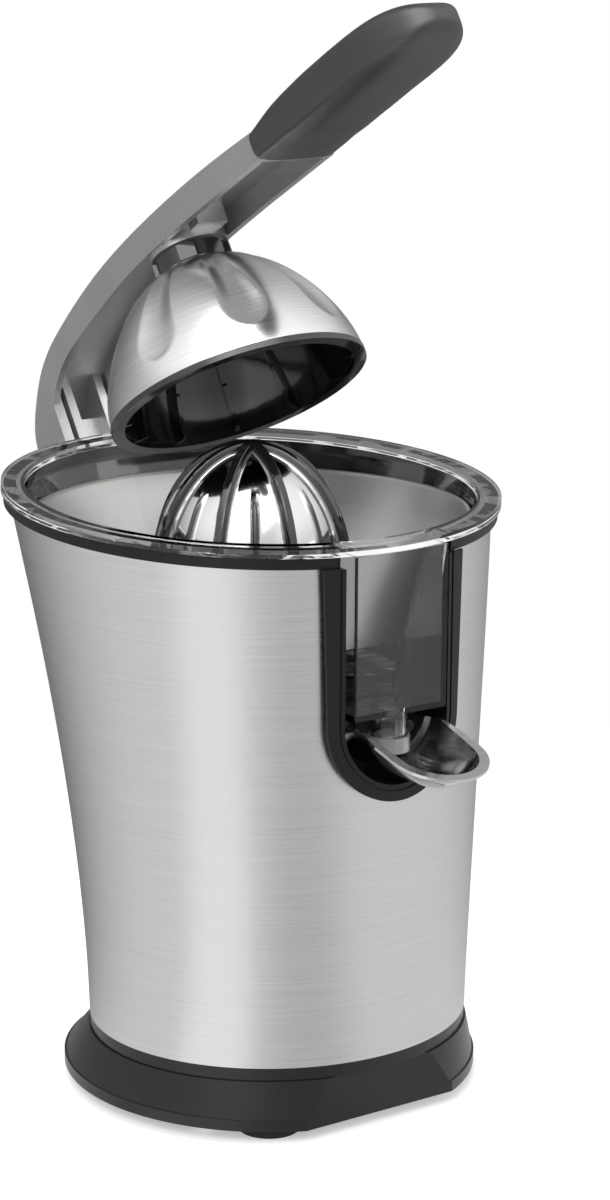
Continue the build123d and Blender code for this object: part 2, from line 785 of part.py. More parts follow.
def gear(teeth, z, face, phase):
    """Spur gear as a solid standing on z, with one tooth turned to the phase angle."""
    pitch = gear_module * teeth / 2
    base = pitch * cos(radians(pressure_angle))
    tip = pitch + addendum
    root = pitch - dedendum
    half_tooth = pi * tooth_share / teeth + involute(radians(pressure_angle))
    start = max(base, root)
    radii = [start + (tip - start) * i / 4 for i in range(5)]
    halves = [half_tooth - involute(acos(min(1.0, base / r))) for r in radii]
    left = [(r * cos(a), r * sin(a)) for r, a in zip(radii, halves)]
    right = [(x, -y) for x, y in reversed(left)]
    sunk = 0.96 * root
    foot = (sunk * cos(halves[0]), sunk * sin(halves[0]))
    with BuildSketch() as tooth:
        with BuildLine():
            Line(foot, left[0])
            Spline(*left)
            Line(left[-1], right[0])
            Spline(*right)
            Polyline(right[-1], (foot[0], -foot[1]), foot)
        make_face()
    with BuildPart() as wheel:
        with BuildSketch(Plane.XY.offset(z)):
            Circle(root)
            with PolarLocations(0, teeth, start_angle=phase):
                add(tooth.sketch)
        extrude(amount=face)
    return wheel.part


half_motor = 180 / motor_teeth
with BuildPart() as output_gear:
    add(gear(output_teeth, output_gear_z, gear_face, -90))
    with BuildSketch(Plane.XY.offset(output_gear_z)):
        Circle(shaft_radius)
    extrude(amount=gear_face, mode=Mode.SUBTRACT)
    # Web recess on the upper side.
    with BuildSketch(Plane.XY.offset(output_gear_z + gear_face)):
        Circle(15)
        Circle(7, mode=Mode.SUBTRACT)
    extrude(amount=-3, mode=Mode.SUBTRACT)
save(output_gear, "output_gear")

small_gear_z = idler_gear_z + gear_face
with BuildPart() as idler_gear:
    add(gear(idler_teeth, idler_gear_z, gear_face, -90).moved(Location((0, idler_y, 0))))
    small = gear(small_teeth, small_gear_z, gear_face + 4, 90 + 180 / small_teeth)
    add(small.moved(Location((0, idler_y, 0))))
    with BuildSketch(Plane.XY.offset(idler_gear_z)):
        with Locations((0, idler_y)):
            Circle(stem_radius + running_gap)
    extrude(amount=2 * gear_face + 4, mode=Mode.SUBTRACT)
save(idler_gear, "idler_gear")

with BuildPart() as motor_pinion:
    pinion = gear(motor_teeth, idler_gear_z, gear_face, 90 + half_motor)
    add(pinion.moved(Location((0, motor_y, 0))))
    with BuildSketch(Plane.XY.offset(idler_gear_z)):
        with Locations((0, motor_y)):
            Circle(motor_shaft_radius)
    extrude(amount=gear_face, mode=Mode.SUBTRACT)
save(motor_pinion, "motor_pinion")

# ---------------------------------------------------------------- gearbox and motor
case_front = motor_y - 14.0
case_rear = case_half_width
case_middle = (case_front + case_rear) / 2
case_length = case_rear - case_front
floor_top = case_bottom + case_wall
with BuildPart() as gearbox_case:
    # Chassis plate on four legs, with the gear case above it.
    with BuildSketch(Plane.XY.offset(case_bottom)):
        with Locations((0, case_middle)):
            RectangleRounded(2 * 57, case_length, 8)
    extrude(amount=case_wall)
    with BuildSketch(Plane.XY.offset(shell_bottom)):
        with Locations(*leg_points):
            Circle(leg_radius)
    extrude(amount=case_bottom - shell_bottom)
    with BuildSketch(Plane.XY.offset(shell_bottom)):
        with Locations(*leg_points):
            Circle(screw_radius)
    extrude(amount=screw_length - deck_thickness, mode=Mode.SUBTRACT)
    with BuildSketch(Plane.XY.offset(floor_top)):
        with Locations((0, case_middle)):
            RectangleRounded(2 * case_half_width, case_length, 6)
            RectangleRounded(
                2 * (case_half_width - case_wall), case_length - 2 * case_wall, 4, mode=Mode.SUBTRACT
            )
    extrude(amount=case_height - case_wall)
    # Guide for the press plunger under the plate.
    with BuildSketch(Plane.XY.offset(guide_bottom)):
        Circle(guide_radius)
    extrude(amount=case_bottom - guide_bottom)
    with BuildSketch(Plane.XY.offset(guide_bottom + case_wall)):
        Circle(plunger_radius + running_gap)
    extrude(amount=case_bottom - guide_bottom - case_wall, mode=Mode.SUBTRACT)
    with BuildSketch(Plane.XY.offset(guide_bottom)):
        Circle(stem_radius + running_gap)
    extrude(amount=case_wall, mode=Mode.SUBTRACT)
    # Holes for the shaft, the idler's pin and the motor's spigot.
    with BuildSketch(Plane.XY.offset(case_bottom)):
        Circle(shaft_radius + fit_gap)
        with Locations((0, idler_y)):
            Circle(stem_radius)
        with Locations((0, motor_y)):
            Circle(motor_shaft_radius + fit_gap)
    extrude(amount=case_wall, mode=Mode.SUBTRACT)
save(gearbox_case, "gearbox_case")

with BuildPart() as gearbox_cover:
    with BuildSketch(Plane.XY.offset(case_top)):
        with Locations((0, case_middle)):
            RectangleRounded(2 * case_half_width, case_length, 6)
        Circle(shaft_radius + fit_gap, mode=Mode.SUBTRACT)
        with Locations((0, idler_y)):
            Circle(stem_radius, mode=Mode.SUBTRACT)
    extrude(amount=case_wall)
save(gearbox_cover, "gearbox_cover")

with BuildPart() as idler_pin:
    with BuildSketch(Plane.XY.offset(case_bottom)):
        with Locations((0, idler_y)):
            Circle(stem_radius)
    extrude(amount=case_height + case_wall)
save(idler_pin, "idler_pin")

can_bottom = case_bottom - motor_length
can_wall = 1.5
with BuildPart() as motor_can:
    with BuildSketch(Plane.XY.offset(can_bottom)):
        with Locations((0, motor_y)):
            Circle(motor_radius)
    extrude(amount=motor_length)
    with BuildSketch(Plane.XY.offset(can_bottom + can_wall)):
        with Locations((0, motor_y)):
            Circle(motor_radius - can_wall)
    extrude(amount=motor_length - 2 * can_wall, mode=Mode.SUBTRACT)
    # Field magnets inside the can.
    with BuildSketch(Plane.XY.offset(can_bottom + 12)):
        with Locations((0, motor_y)):
            Circle(motor_radius - can_wall)
            Circle(rotor_radius + 0.8, mode=Mode.SUBTRACT)
            Rectangle(14, 2 * motor_radius, mode=Mode.SUBTRACT)
    extrude(amount=motor_length - 30)
    with BuildSketch(Plane.XY.offset(can_bottom)):
        with Locations((0, motor_y)):
            Circle(motor_shaft_radius + running_gap)
    extrude(amount=motor_length, mode=Mode.SUBTRACT)
save(motor_can, "motor_can")

with BuildPart() as motor_rotor:
    with BuildSketch(Plane.XY.offset(can_bottom - 3)):
        with Locations((0, motor_y)):
            Circle(motor_shaft_radius)
    extrude(amount=small_gear_z + 2 - can_bottom + 3)
    with BuildSketch(Plane.XY.offset(can_bottom + 14)):
        with Locations((0, motor_y)):
            Circle(rotor_radius)
            with PolarLocations(rotor_radius, 12):
                Rectangle(8, 2, mode=Mode.SUBTRACT)
    extrude(amount=motor_length - 34)
    with BuildSketch(Plane.XY.offset(can_bottom + can_wall + 2)):
        with Locations((0, motor_y)):
            Circle(9)
    extrude(amount=14 - can_wall - 2)
save(motor_rotor, "motor_rotor")

# ---------------------------------------------------------------- press plunger and switch
plunger_bottom = shaft_bottom - 4.0
with BuildPart() as press_plunger:
    with BuildSketch(Plane.XY.offset(plunger_bottom)):
        Circle(plunger_radius)
    extrude(amount=shaft_bottom - plunger_bottom)
    with BuildSketch(Plane.XY.offset(stem_bottom)):
        Circle(stem_radius)
    extrude(amount=plunger_bottom - stem_bottom)
save(press_plunger, "press_plunger")

spring_wire = 0.6
spring_radius = 5.6
spring_turns = 5
with BuildPart() as return_spring:
    # Coil between the guide's floor and the plunger's head.
    spring_low = guide_bottom + case_wall
    coil_length = plunger_bottom - spring_low - 2 * spring_wire
    with BuildLine():
        coil = Helix(
            pitch=coil_length / spring_turns,
            height=coil_length,
            radius=spring_radius,
            center=(0, 0, spring_low + spring_wire),
        )
    with BuildSketch(Plane(origin=coil @ 0, z_dir=coil % 0)):
        Circle(spring_wire)
    sweep(is_frenet=True)
save(return_spring, "return_spring")

with BuildPart() as start_switch:
    # Forked sensor that the plunger's stem enters when the reamer is pressed.
    fork_low = 82.0
    with BuildSketch(Plane.XY.offset(fork_low)):
        Rectangle(22, 14)
    extrude(amount=guide_bottom - fork_low)
    with BuildSketch(Plane.XY.offset(fork_low + 4)):
        Rectangle(2 * stem_radius + 3, 14)
    extrude(amount=guide_bottom - fork_low - 4, mode=Mode.SUBTRACT)
save(start_switch, "start_switch")

# ---------------------------------------------------------------- hinge bracket and cover
ear_side = (ear_inner + ear_outer) / 2
bracket_seat = shell_rear(bracket_screw_z) + 8.5
bracket_root = bracket_seat - 16.0
bracket_low = bracket_screw_z - 11.0
bracket_high = bracket_screw_z + 12.0
with BuildPart() as hinge_bracket:
    # Two steel ears round the hinge pin.
    with BuildSketch(SIDE):
        with Locations((hinge_y, hinge_z)):
            Circle(ear_radius)
        with BuildLine():
            Polyline(
                (hinge_y - ear_radius, hinge_z),
                (hinge_y + ear_radius, hinge_z),
                (hinge_y + 5, hinge_z - 19.5),
                (bracket_seat + 5, bracket_low),
                (bracket_root, bracket_low),
                (bracket_root, bracket_high),
                (bracket_seat + 9, bracket_high + 2),
                close=True,
            )
        make_face()
    extrude(amount=ear_outer, both=True)
    with BuildSketch(SIDE):
        with Locations((hinge_y, hinge_z)):
            Rectangle(80, 80)
    extrude(amount=ear_inner, both=True, mode=Mode.SUBTRACT)
    # Web between the ears, seated on the shell.
    with BuildSketch(SIDE):
        with BuildLine():
            Polyline(
                (bracket_root, bracket_low),
                (bracket_seat, bracket_low),
                (bracket_seat, bracket_high),
                (bracket_root, bracket_high),
                close=True,
            )
        make_face()
    extrude(amount=ear_outer, both=True)
    add(outer_form, mode=Mode.SUBTRACT)
    with BuildSketch(SIDE.offset(-20)):
        with Locations((hinge_y, hinge_z)):
            Circle(pin_radius + running_gap)
    extrude(amount=40, mode=Mode.SUBTRACT)
    add(bracket_holes(screw_radius + hair_gap), mode=Mode.SUBTRACT)
save(hinge_bracket, "hinge_bracket")

with BuildPart() as bracket_screws:
    with BuildSketch(FRONT.offset(-bracket_seat)):
        with Locations((-bracket_screw_x, bracket_screw_z), (bracket_screw_x, bracket_screw_z)):
            Circle(screw_head_radius)
    extrude(amount=-screw_head_height)
    with BuildSketch(FRONT.offset(-bracket_seat)):
        with Locations((-bracket_screw_x, bracket_screw_z), (bracket_screw_x, bracket_screw_z)):
            Circle(screw_radius)
    extrude(amount=bracket_seat - shell_rear(bracket_screw_z) + shell_wall + tub_wall)
save(bracket_screws, "bracket_screws")

cover_half_width = 20.5
cover_wall = 2.0
cover_lid = hinge_z - 13.0
cover_low = bracket_low - 9.0
cover_root = bracket_seat - 31.0
cover_heel = bracket_seat + 1.0
cover_back = hinge_y + 9.0
cover_turn = hinge_z - 22.0
with BuildPart() as hinge_cover:
    # Black hood over the bracket, open towards the shell.
    with BuildSketch(SIDE):
        with BuildLine():
            Polyline(
                (cover_root, cover_low),
                (cover_heel, cover_low),
                (cover_back, cover_turn),
                (cover_back, cover_lid),
                (cover_root, cover_lid),
                close=True,
            )
        make_face()
    extrude(amount=cover_half_width, both=True)
    with BuildSketch(SIDE):
        with BuildLine():
            Polyline(
                (cover_root, cover_low + cover_wall),
                (cover_heel - 0.8, cover_low + cover_wall),
                (cover_back - cover_wall, cover_turn + 1),
                (cover_back - cover_wall, cover_lid - cover_wall),
                (cover_root, cover_lid - cover_wall),
                close=True,
            )
        make_face()
    extrude(amount=cover_half_width - cover_wall, both=True, mode=Mode.SUBTRACT)
    add(outer_form, mode=Mode.SUBTRACT)
    # Slots in the lid for the ears.
    with BuildSketch(Plane.XY.offset(cover_lid - cover_wall)):
        with Locations((-ear_side, hinge_y - 4), (ear_side, hinge_y - 4)):
            Rectangle(ear_outer - ear_inner + 0.8, 40)
    extrude(amount=cover_wall, mode=Mode.SUBTRACT)
save(hinge_cover, "hinge_cover")

# ---------------------------------------------------------------- lever
hinge_axis = Axis((0, hinge_y, hinge_z), (1, 0, 0))


def save_raised(piece, name):
    """Raises a piece of the lever to its rest angle and writes it."""
    piece.part = piece.part.rotate(hinge_axis, -lever_rest_angle)
    save(piece, name)


arm_outer = [
    (hinge_y + 11.5, 243.0),
    (hinge_y + 10.4, 248.0),
    (hinge_y + 3.0, 258.5),
    (hinge_y - 12.0, 270.5),
    (78.0, 278.3),
    (45.0, 283.5),
    (0.0, 285.0),
    (-45.0, 282.8),
    (grip_start, 278.7),
]
arm_inner = [
    (hinge_y - 5.0, 243.0),
    (hinge_y - 12.4, 255.2),
    (hinge_y - 27.0, 264.3),
    (65.0, 268.7),
    (26.0, 272.5),
    (-20.0, 272.0),
    (grip_start, 267.5),
]
web_under = [
    (hinge_y + 8.0, 243.0),
    (hinge_y + 6.9, 246.8),
    (hinge_y + 0.5, 255.8),
    (hinge_y - 13.6, 267.2),
    (77.2, 274.9),
    (44.7, 280.0),
    (0.0, 281.5),
    (-45.0, 279.3),
    (grip_start + 3, 275.4),
]


def arm_side(upper):
    """Solid 34 mm wide between the given upper curve and far below, knuckle included."""
    with BuildPart() as form:
        with BuildSketch(SIDE):
            with BuildLine():
                curve = Spline(*upper)
                Polyline(curve @ 1, (upper[-1][0], 216.0), (upper[0][0], 216.0), curve @ 0)
            make_face()
        extrude(amount=lever_half_width, both=True)
    return form.part


with BuildPart() as lever_arm:
    # Side walls and web between the outer and the inner curve.
    with BuildSketch(SIDE):
        with BuildLine():
            back = Spline(*arm_outer)
            Line(back @ 1, arm_inner[-1])
            belly = Spline(*reversed(arm_inner))
            Polyline(
                belly @ 1,
                (hinge_y - knuckle_radius, hinge_z + 9),
                (hinge_y - knuckle_radius, hinge_z),
                (hinge_y + knuckle_radius, hinge_z),
                back @ 0,
            )
        make_face()
        with Locations((hinge_y, hinge_z)):
            Circle(knuckle_radius)
    extrude(amount=lever_half_width, both=True)
    with BuildSketch(SIDE):
        with BuildLine():
            under = Spline(*web_under)
            Polyline(under @ 1, (web_under[-1][0], 200.0), (web_under[0][0], 200.0), under @ 0)
        make_face()
    extrude(amount=lever_half_width - lever_wall, both=True, mode=Mode.SUBTRACT)
    # Ribs of the hinge knuckle.
    with BuildPart(mode=Mode.PRIVATE) as ribs:
        with BuildSketch(SIDE):
            with BuildLine():
                Polyline(
                    (rib_front, hinge_z),
                    (rib_front, 272.0),
                    (hinge_y + knuckle_radius, 272.0),
                    (hinge_y + knuckle_radius, hinge_z),
                    close=True,
                )
            make_face()
            with Locations((hinge_y, hinge_z)):
                Circle(knuckle_radius)
        extrude(amount=lever_half_width, both=True)
        with BuildSketch(FRONT):
            for side in (-1, 1):
                with Locations((side * (rib_outer + rib_side) / 2, hinge_z)):
                    Rectangle(rib_side - rib_outer, 120)
            with Locations((0, hinge_z)):
                Rectangle(2 * rib_inner, 120)
        extrude(amount=-200, mode=Mode.SUBTRACT)
        # Cross block between the inner ribs.
        with BuildSketch(SIDE):
            with BuildLine():
                Polyline(
                    (hinge_y - 5, hinge_z - 6),
                    (hinge_y - 5, hinge_z + 21),
                    (hinge_y + 8, hinge_z + 21),
                    (hinge_y + 8, hinge_z - 6),
                    close=True,
                )
            make_face()
        extrude(amount=rib_inner, both=True)
        add(arm_side(arm_outer), mode=Mode.INTERSECT)
    add(ribs.part)
    # Post for the dome, braced by two webs.
    with BuildPart(mode=Mode.PRIVATE) as post:
        with BuildSketch(Plane.XY.offset(post_bottom)):
            Circle(post_radius)
        extrude(amount=20)
        with BuildSketch(Plane.XY.offset(273.0)):
            with Locations((0, -21)):
                Rectangle(14, 21, align=(Align.CENTER, Align.MIN))
        extrude(amount=20)
        add(arm_side(arm_outer), mode=Mode.INTERSECT)
    add(post.part)
    # Room for the bracket's ears to turn.
    for side in (-1, 1):
        with BuildSketch(SIDE.offset(side * (rib_outer + rib_side) / 2)):
            with Locations((hinge_y, hinge_z)):
                Circle(ear_radius + 2.5)
        extrude(amount=(rib_side - rib_outer) / 2, both=True, mode=Mode.SUBTRACT)
    # Tang that the grip is moulded on.
    with BuildSketch(SIDE):
        with BuildLine():
            Polyline(
                (grip_start + 4, 269.5),
                (grip_start + 4, 275.5),
                (-150.0, 272.5),
                (-150.0, 266.5),
                close=True,
            )
        make_face()
    extrude(amount=8, both=True)
    # Bores for the hinge pin and the dome's bolt.
    with BuildSketch(SIDE.offset(-15.5)):
        with Locations((hinge_y, hinge_z)):
            Circle(pin_radius)
    extrude(amount=15.5 + lever_half_width, mode=Mode.SUBTRACT)
    with BuildSketch(Plane.XY.offset(post_bottom)):
        Circle(dome_bolt_radius)
    extrude(amount=9, mode=Mode.SUBTRACT)
save_raised(lever_arm, "lever_arm")

grip_stations = [
    (grip_start, 273.6, grip_half_width, 12.0, 3.5),
    (-100.0, 274.8, grip_half_width, 15.6, 4.5),
    (-120.0, 274.2, grip_half_width, 17.4, 5.0),
    (-140.0, 272.8, grip_half_width, 17.8, 5.5),
    (-156.0, 271.2, 18.6, 17.8, 6.0),
    (-168.0, 269.8, 17.2, 17.4, 6.0),
    (-177.0, 268.6, 14.6, 16.2, 5.5),
    (-183.0, 267.8, 10.8, 14.0, 4.5),
    (-186.0, 267.4, 6.5, 11.0, 3.5),
]
with BuildPart() as lever_grip:
    # Moulded grip, lofted through rounded sections and wrapped round the tang.
    for y, z, half_width, thickness, corner in grip_stations:
        with BuildSketch(Plane(origin=(0, y, z), x_dir=(1, 0, 0), z_dir=(0, -1, 0))):
            RectangleRounded(2 * half_width, thickness, corner)
    loft()
    with BuildSketch(SIDE):
        with BuildLine():
            Polyline(
                (grip_start + 4, 269.5),
                (grip_start + 4, 275.5),
                (-150.0, 272.5),
                (-150.0, 266.5),
                close=True,
            )
        make_face()
    extrude(amount=8, both=True, mode=Mode.SUBTRACT)
save_raised(lever_grip, "lever_grip")

with BuildPart() as hinge_pin:
    with BuildSketch(SIDE.offset(-15.5)):
        with Locations((hinge_y, hinge_z)):
            Circle(pin_radius)
    extrude(amount=15.5 + lever_half_width)
    # Pressed head outside the arm's far side.
    with BuildSketch(SIDE.offset(lever_half_width)):
        with Locations((hinge_y, hinge_z)):
            Circle(pin_radius + 2)
    extrude(amount=1.4)
save_raised(hinge_pin, "hinge_pin")

# ---------------------------------------------------------------- dome
dome_top_z = dome_rim_z + dome_height


def dome_meridian(s, inset):
    """Radius of the dome's wall at height s above its rim, drawn in by inset.  The lower
    the fullness, the straighter the shoulder."""
    tall = dome_axis_height - inset
    return (dome_radius - inset) * sqrt(max(0.0, 1 - (s / tall) ** dome_fullness))


def dome_form(inset, top):
    """Solid dome drawn in by inset, from its rim plane to a flat top."""
    with BuildPart() as form:
        with BuildSketch(SIDE):
            with BuildLine():
                heights = [top * i / 7 for i in range(8)]
                curve = Spline(*[(dome_meridian(s, inset), dome_rim_z + s) for s in heights])
                Polyline(curve @ 1, (0, dome_rim_z + top), (0, dome_rim_z), curve @ 0)
            make_face()
        revolve(axis=Axis.Z)
    return form.part


dent_depths = [(8.0, 0.0), (12.0, 1.4), (18.0, 2.4), (26.0, 2.5), (34.0, 2.0), (42.0, 1.3), (49.0, 0.5)]
dent_reach = 32.0


def dome_dent():
    """Tool that presses one leaf-shaped dent into the dome's +Y side: a waisted spindle
    whose axis runs outside the dome, along the chord of the dent."""
    points = [(dome_meridian(s, depth), dome_rim_z + s) for s, depth in dent_depths]
    run = points[-1][0] - points[0][0]
    climb = points[-1][1] - points[0][1]
    chord = sqrt(run**2 + climb**2)
    out = (climb / chord * dent_reach, -run / chord * dent_reach)
    low = (points[0][0] + out[0], points[0][1] + out[1])
    top = (points[-1][0] + out[0], points[-1][1] + out[1])
    with BuildPart() as tool:
        with BuildSketch(SIDE):
            with BuildLine():
                curve = Spline(*points)
                Polyline(curve @ 1, top, low, curve @ 0)
            make_face()
        revolve(axis=Axis((0, low[0], low[1]), (0, run, climb)))
    return tool.part


with BuildPart() as dome_shell:
    # Pressed steel cup with leaf-shaped dents.
    add(dome_form(0.0, dome_height))
    add(dome_form(dome_wall, dome_height - dome_crown), mode=Mode.SUBTRACT)
    dent = dome_dent()
    for i in range(dome_dents):
        add(dent.rotate(Axis.Z, 360 * i / dome_dents - dome_dent_turn), mode=Mode.SUBTRACT)
    with BuildSketch(Plane.XY.offset(dome_top_z)):
        Circle(dome_bolt_radius)
    extrude(amount=-5, mode=Mode.SUBTRACT)
save_raised(dome_shell, "dome_shell")

with BuildPart() as dome_ring:
    # Black rim round the dome's mouth.
    with BuildSketch(Plane.XY.offset(dome_rim_z - dome_ring_height)):
        Circle(dome_radius + 0.3)
        Circle(dome_radius + 0.3 - dome_ring_width, mode=Mode.SUBTRACT)
    extrude(amount=dome_ring_height)
save_raised(dome_ring, "dome_ring")

liner_inset = dome_wall + hair_gap
liner_top = dome_height - dome_crown
liner_rib_width = 1.6
liner_rib_depth = 3.5
liner_rib_stop = 6.0
with BuildPart() as dome_liner:
    # Smooth cup inside the steel, with ribs that grip the fruit.
    add(dome_form(liner_inset, liner_top))
    with BuildPart(mode=Mode.PRIVATE) as fins:
        with BuildSketch(Plane.XY.offset(dome_rim_z)):
            with PolarLocations(dome_radius - liner_inset - 4, liner_ribs):
                Rectangle(10, liner_rib_width)
            with PolarLocations(dome_radius / 2, liner_ribs):
                Rectangle(dome_radius / 2, liner_rib_width)
        extrude(amount=liner_top)
        add(dome_form(liner_inset + liner_wall / 2, liner_top), mode=Mode.INTERSECT)
        hollow_inset = liner_inset + liner_wall + liner_rib_depth
        add(dome_form(hollow_inset, liner_top - liner_rib_stop), mode=Mode.SUBTRACT)
    add(dome_form(liner_inset + liner_wall, liner_top - liner_wall), mode=Mode.SUBTRACT)
    add(fins.part)
    with BuildSketch(Plane.XY.offset(dome_top_z)):
        Circle(dome_bolt_radius)
    extrude(amount=-20, mode=Mode.SUBTRACT)
save_raised(dome_liner, "dome_liner")

with BuildPart() as dome_collar:
    # Black collar between the dome and the lever's post.
    with BuildSketch(Plane.XY.offset(dome_top_z)):
        Circle(collar_radius)
    extrude(amount=post_bottom - dome_top_z)
    with BuildSketch(Plane.XY.offset(dome_top_z)):
        with PolarLocations(collar_radius, 4, start_angle=-40):
            Rectangle(2.4, 7)
    extrude(amount=post_bottom - dome_top_z - 1)
    with BuildSketch(Plane.XY.offset(dome_top_z)):
        Circle(dome_bolt_radius)
    extrude(amount=20, mode=Mode.SUBTRACT)
save_raised(dome_collar, "dome_collar")

liner_ceiling = dome_rim_z + liner_top - liner_wall
bolt_head_radius = 6.0
bolt_head_height = 1.4
with BuildPart() as dome_bolt:
    # Bolt from inside the liner up into the lever's post.
    with BuildSketch(Plane.XY.offset(liner_ceiling - bolt_head_height)):
        Circle(bolt_head_radius)
    extrude(amount=bolt_head_height)
    with BuildSketch(Plane.XY.offset(liner_ceiling)):
        Circle(dome_bolt_radius)
    extrude(amount=post_bottom + 9 - liner_ceiling)
save_raised(dome_bolt, "dome_bolt")

# ---------------------------------------------------------------- spout
SPOUT = Plane(
    origin=(0, spout_lip_y, spout_lip_z),
    x_dir=(1, 0, 0),
    z_dir=(0, -sin(radians(spout_slope)), cos(radians(spout_slope))),
)
slope_scale = 1 / cos(radians(spout_slope))
spout_rear = (spout_rear_y - spout_lip_y) * slope_scale
spout_nose = (spout_nose_y - spout_lip_y) / slope_scale
spout_mouth = sqrt(spout_radius**2 - ((spout_lip_y - spout_nose_y) * sin(radians(spout_slope))) ** 2)
spout_flare_from = (spout_flare_start - spout_lip_y) * slope_scale
spout_flare_run = 12.0
spout_side_drop = 0.8
spout_cut = 60.0


def trough(radius, rear):
    """Level half-round trough with a spherical nose, cut off by the sloping lip plane."""
    rear_y = spout_lip_y + rear / slope_scale
    with BuildPart() as form:
        with BuildSketch(FRONT.offset(-rear_y)):
            with Locations((0, spout_lip_z)):
                Circle(radius)
        extrude(amount=rear_y - spout_nose_y)
        with Locations((0, spout_nose_y, spout_lip_z)):
            Sphere(radius)
        split(bisect_by=SPOUT, keep=Keep.BOTTOM)
    return form.part


def pin_holes(radius, half_length):
    """Peg along X at the spout's pivot."""
    with BuildPart() as peg:
        with BuildSketch(SIDE.offset(-half_length)):
            with Locations((spout_pivot_y, spout_pivot_z)):
                Circle(radius)
        extrude(amount=2 * half_length)
    return peg.part


with BuildPart() as spout:
    # Steel spoon with a flared lip round its nose.
    add(trough(spout_radius, spout_rear))
    with BuildSketch(SPOUT):
        with Locations((0, spout_nose)):
            Circle(spout_mouth + spout_flare)
        with BuildLine():
            Polyline(
                (-spout_radius, spout_flare_from + spout_flare_run),
                (-spout_mouth - spout_flare, spout_flare_from),
                (-spout_mouth - spout_flare, spout_nose),
                (spout_mouth + spout_flare, spout_nose),
                (spout_mouth + spout_flare, spout_flare_from),
                (spout_radius, spout_flare_from + spout_flare_run),
                close=True,
            )
        make_face()
    extrude(amount=-spout_wall)
    add(trough(spout_radius - spout_wall, spout_rear + 1), mode=Mode.SUBTRACT)
    add(pin_holes(spout_pin_radius, 2 * spout_radius), mode=Mode.SUBTRACT)
    # Low sides under the collector's beak.
    with BuildSketch(Plane.XY.offset(spout_lip_z - spout_side_drop)):
        with Locations((0, -beak_front - spout_side_drop)):
            Rectangle(spout_cut, spout_cut, align=(Align.CENTER, Align.MIN))
    extrude(amount=spout_cut, mode=Mode.SUBTRACT)
save(spout, "spout")

with BuildPart() as spout_carrier:
    # Black insert in the rear of the trough: end wall and two cheeks that hold the pins.
    add(trough(spout_radius - spout_wall, spout_rear))
    with BuildSketch(SPOUT):
        with Locations((0, spout_rear - lining_front)):
            Rectangle(spout_cut, 2 * spout_cut, align=(Align.CENTER, Align.MAX))
    extrude(amount=-spout_cut, mode=Mode.SUBTRACT)
    add(trough(spout_radius - spout_wall - lining_wall, spout_rear - lining_wall), mode=Mode.SUBTRACT)
    with BuildSketch(SPOUT):
        with Locations((0, spout_rear - lining_wall)):
            Rectangle(2 * seal_radius + 2, spout_cut, align=(Align.CENTER, Align.MAX))
    extrude(amount=-spout_cut, mode=Mode.SUBTRACT)
    add(pin_holes(spout_pin_radius, 2 * spout_radius), mode=Mode.SUBTRACT)
    with BuildSketch(Plane.XY.offset(spout_lip_z - spout_side_drop)):
        with Locations((0, spout_lip_y)):
            Rectangle(spout_cut, 3 * spout_cut)
    extrude(amount=spout_cut, mode=Mode.SUBTRACT)
save(spout_carrier, "spout_carrier")

with BuildPart() as spout_pins:
    # Two short pins from the carrier into the walls of the recess.
    add(pin_holes(spout_pin_radius, recess_half_width + recess_wall - 0.4))
    add(trough(spout_radius - spout_wall - lining_wall, spout_rear), mode=Mode.SUBTRACT)
save(spout_pins, "spout_pins")
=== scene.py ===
import math

import bpy
import numpy as np
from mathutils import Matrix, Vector


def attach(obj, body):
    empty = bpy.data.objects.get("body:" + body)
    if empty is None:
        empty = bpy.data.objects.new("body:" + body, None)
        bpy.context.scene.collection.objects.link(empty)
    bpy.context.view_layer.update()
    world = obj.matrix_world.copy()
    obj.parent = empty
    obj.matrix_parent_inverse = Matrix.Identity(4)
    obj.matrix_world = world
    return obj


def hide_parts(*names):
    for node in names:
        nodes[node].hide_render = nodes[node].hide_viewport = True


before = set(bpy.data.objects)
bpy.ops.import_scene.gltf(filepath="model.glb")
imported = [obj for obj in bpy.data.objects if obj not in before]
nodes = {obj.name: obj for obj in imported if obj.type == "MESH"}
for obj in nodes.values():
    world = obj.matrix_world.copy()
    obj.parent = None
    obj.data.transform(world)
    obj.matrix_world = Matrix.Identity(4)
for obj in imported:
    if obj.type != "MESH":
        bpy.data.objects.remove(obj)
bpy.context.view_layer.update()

# Lever citrus juice press.  Metres, +Z up, the juice spout towards -Y, the lever's hinge at +Y.
scene = bpy.context.scene
scene.view_settings.view_transform = "Standard"

# ------------------------------------------------------------------ camera
# A long lens a little above the rim, from the left of the spout.
view_turn = math.radians(-35.03)
view_rise = math.radians(16.57)
view_distance = 1.300
view_aim = Vector((0, 0, 0.120))
camera_data = bpy.data.cameras.new("camera")
camera_data.sensor_fit = "AUTO"
camera_data.sensor_width = 36.0
camera_data.lens = 96.9
camera_data.shift_x = 0.0447
camera_data.shift_y = 0.1472
camera_data.clip_start = 0.01
camera_data.clip_end = 30.0
camera = bpy.data.objects.new("camera", camera_data)
scene.collection.objects.link(camera)


def compass_way(turn, rise):
    """Unit vector from the object's middle, turned from -Y towards +X and raised by rise."""
    return Vector((math.sin(turn) * math.cos(rise), -math.cos(turn) * math.cos(rise), math.sin(rise)))


back = compass_way(view_turn, view_rise)
camera.location = view_aim + back * view_distance
camera.rotation_mode = "QUATERNION"
camera.rotation_quaternion = (-back).to_track_quat("-Z", "Y")
scene.camera = camera

# ------------------------------------------------------------------ floor and light
# A white sweep under three soft boxes, and a plain sky.  Reflections show a studio there
# instead: an even wash with one tall panel, a gap and a dark corner, and one hot soft box
# over the camera.


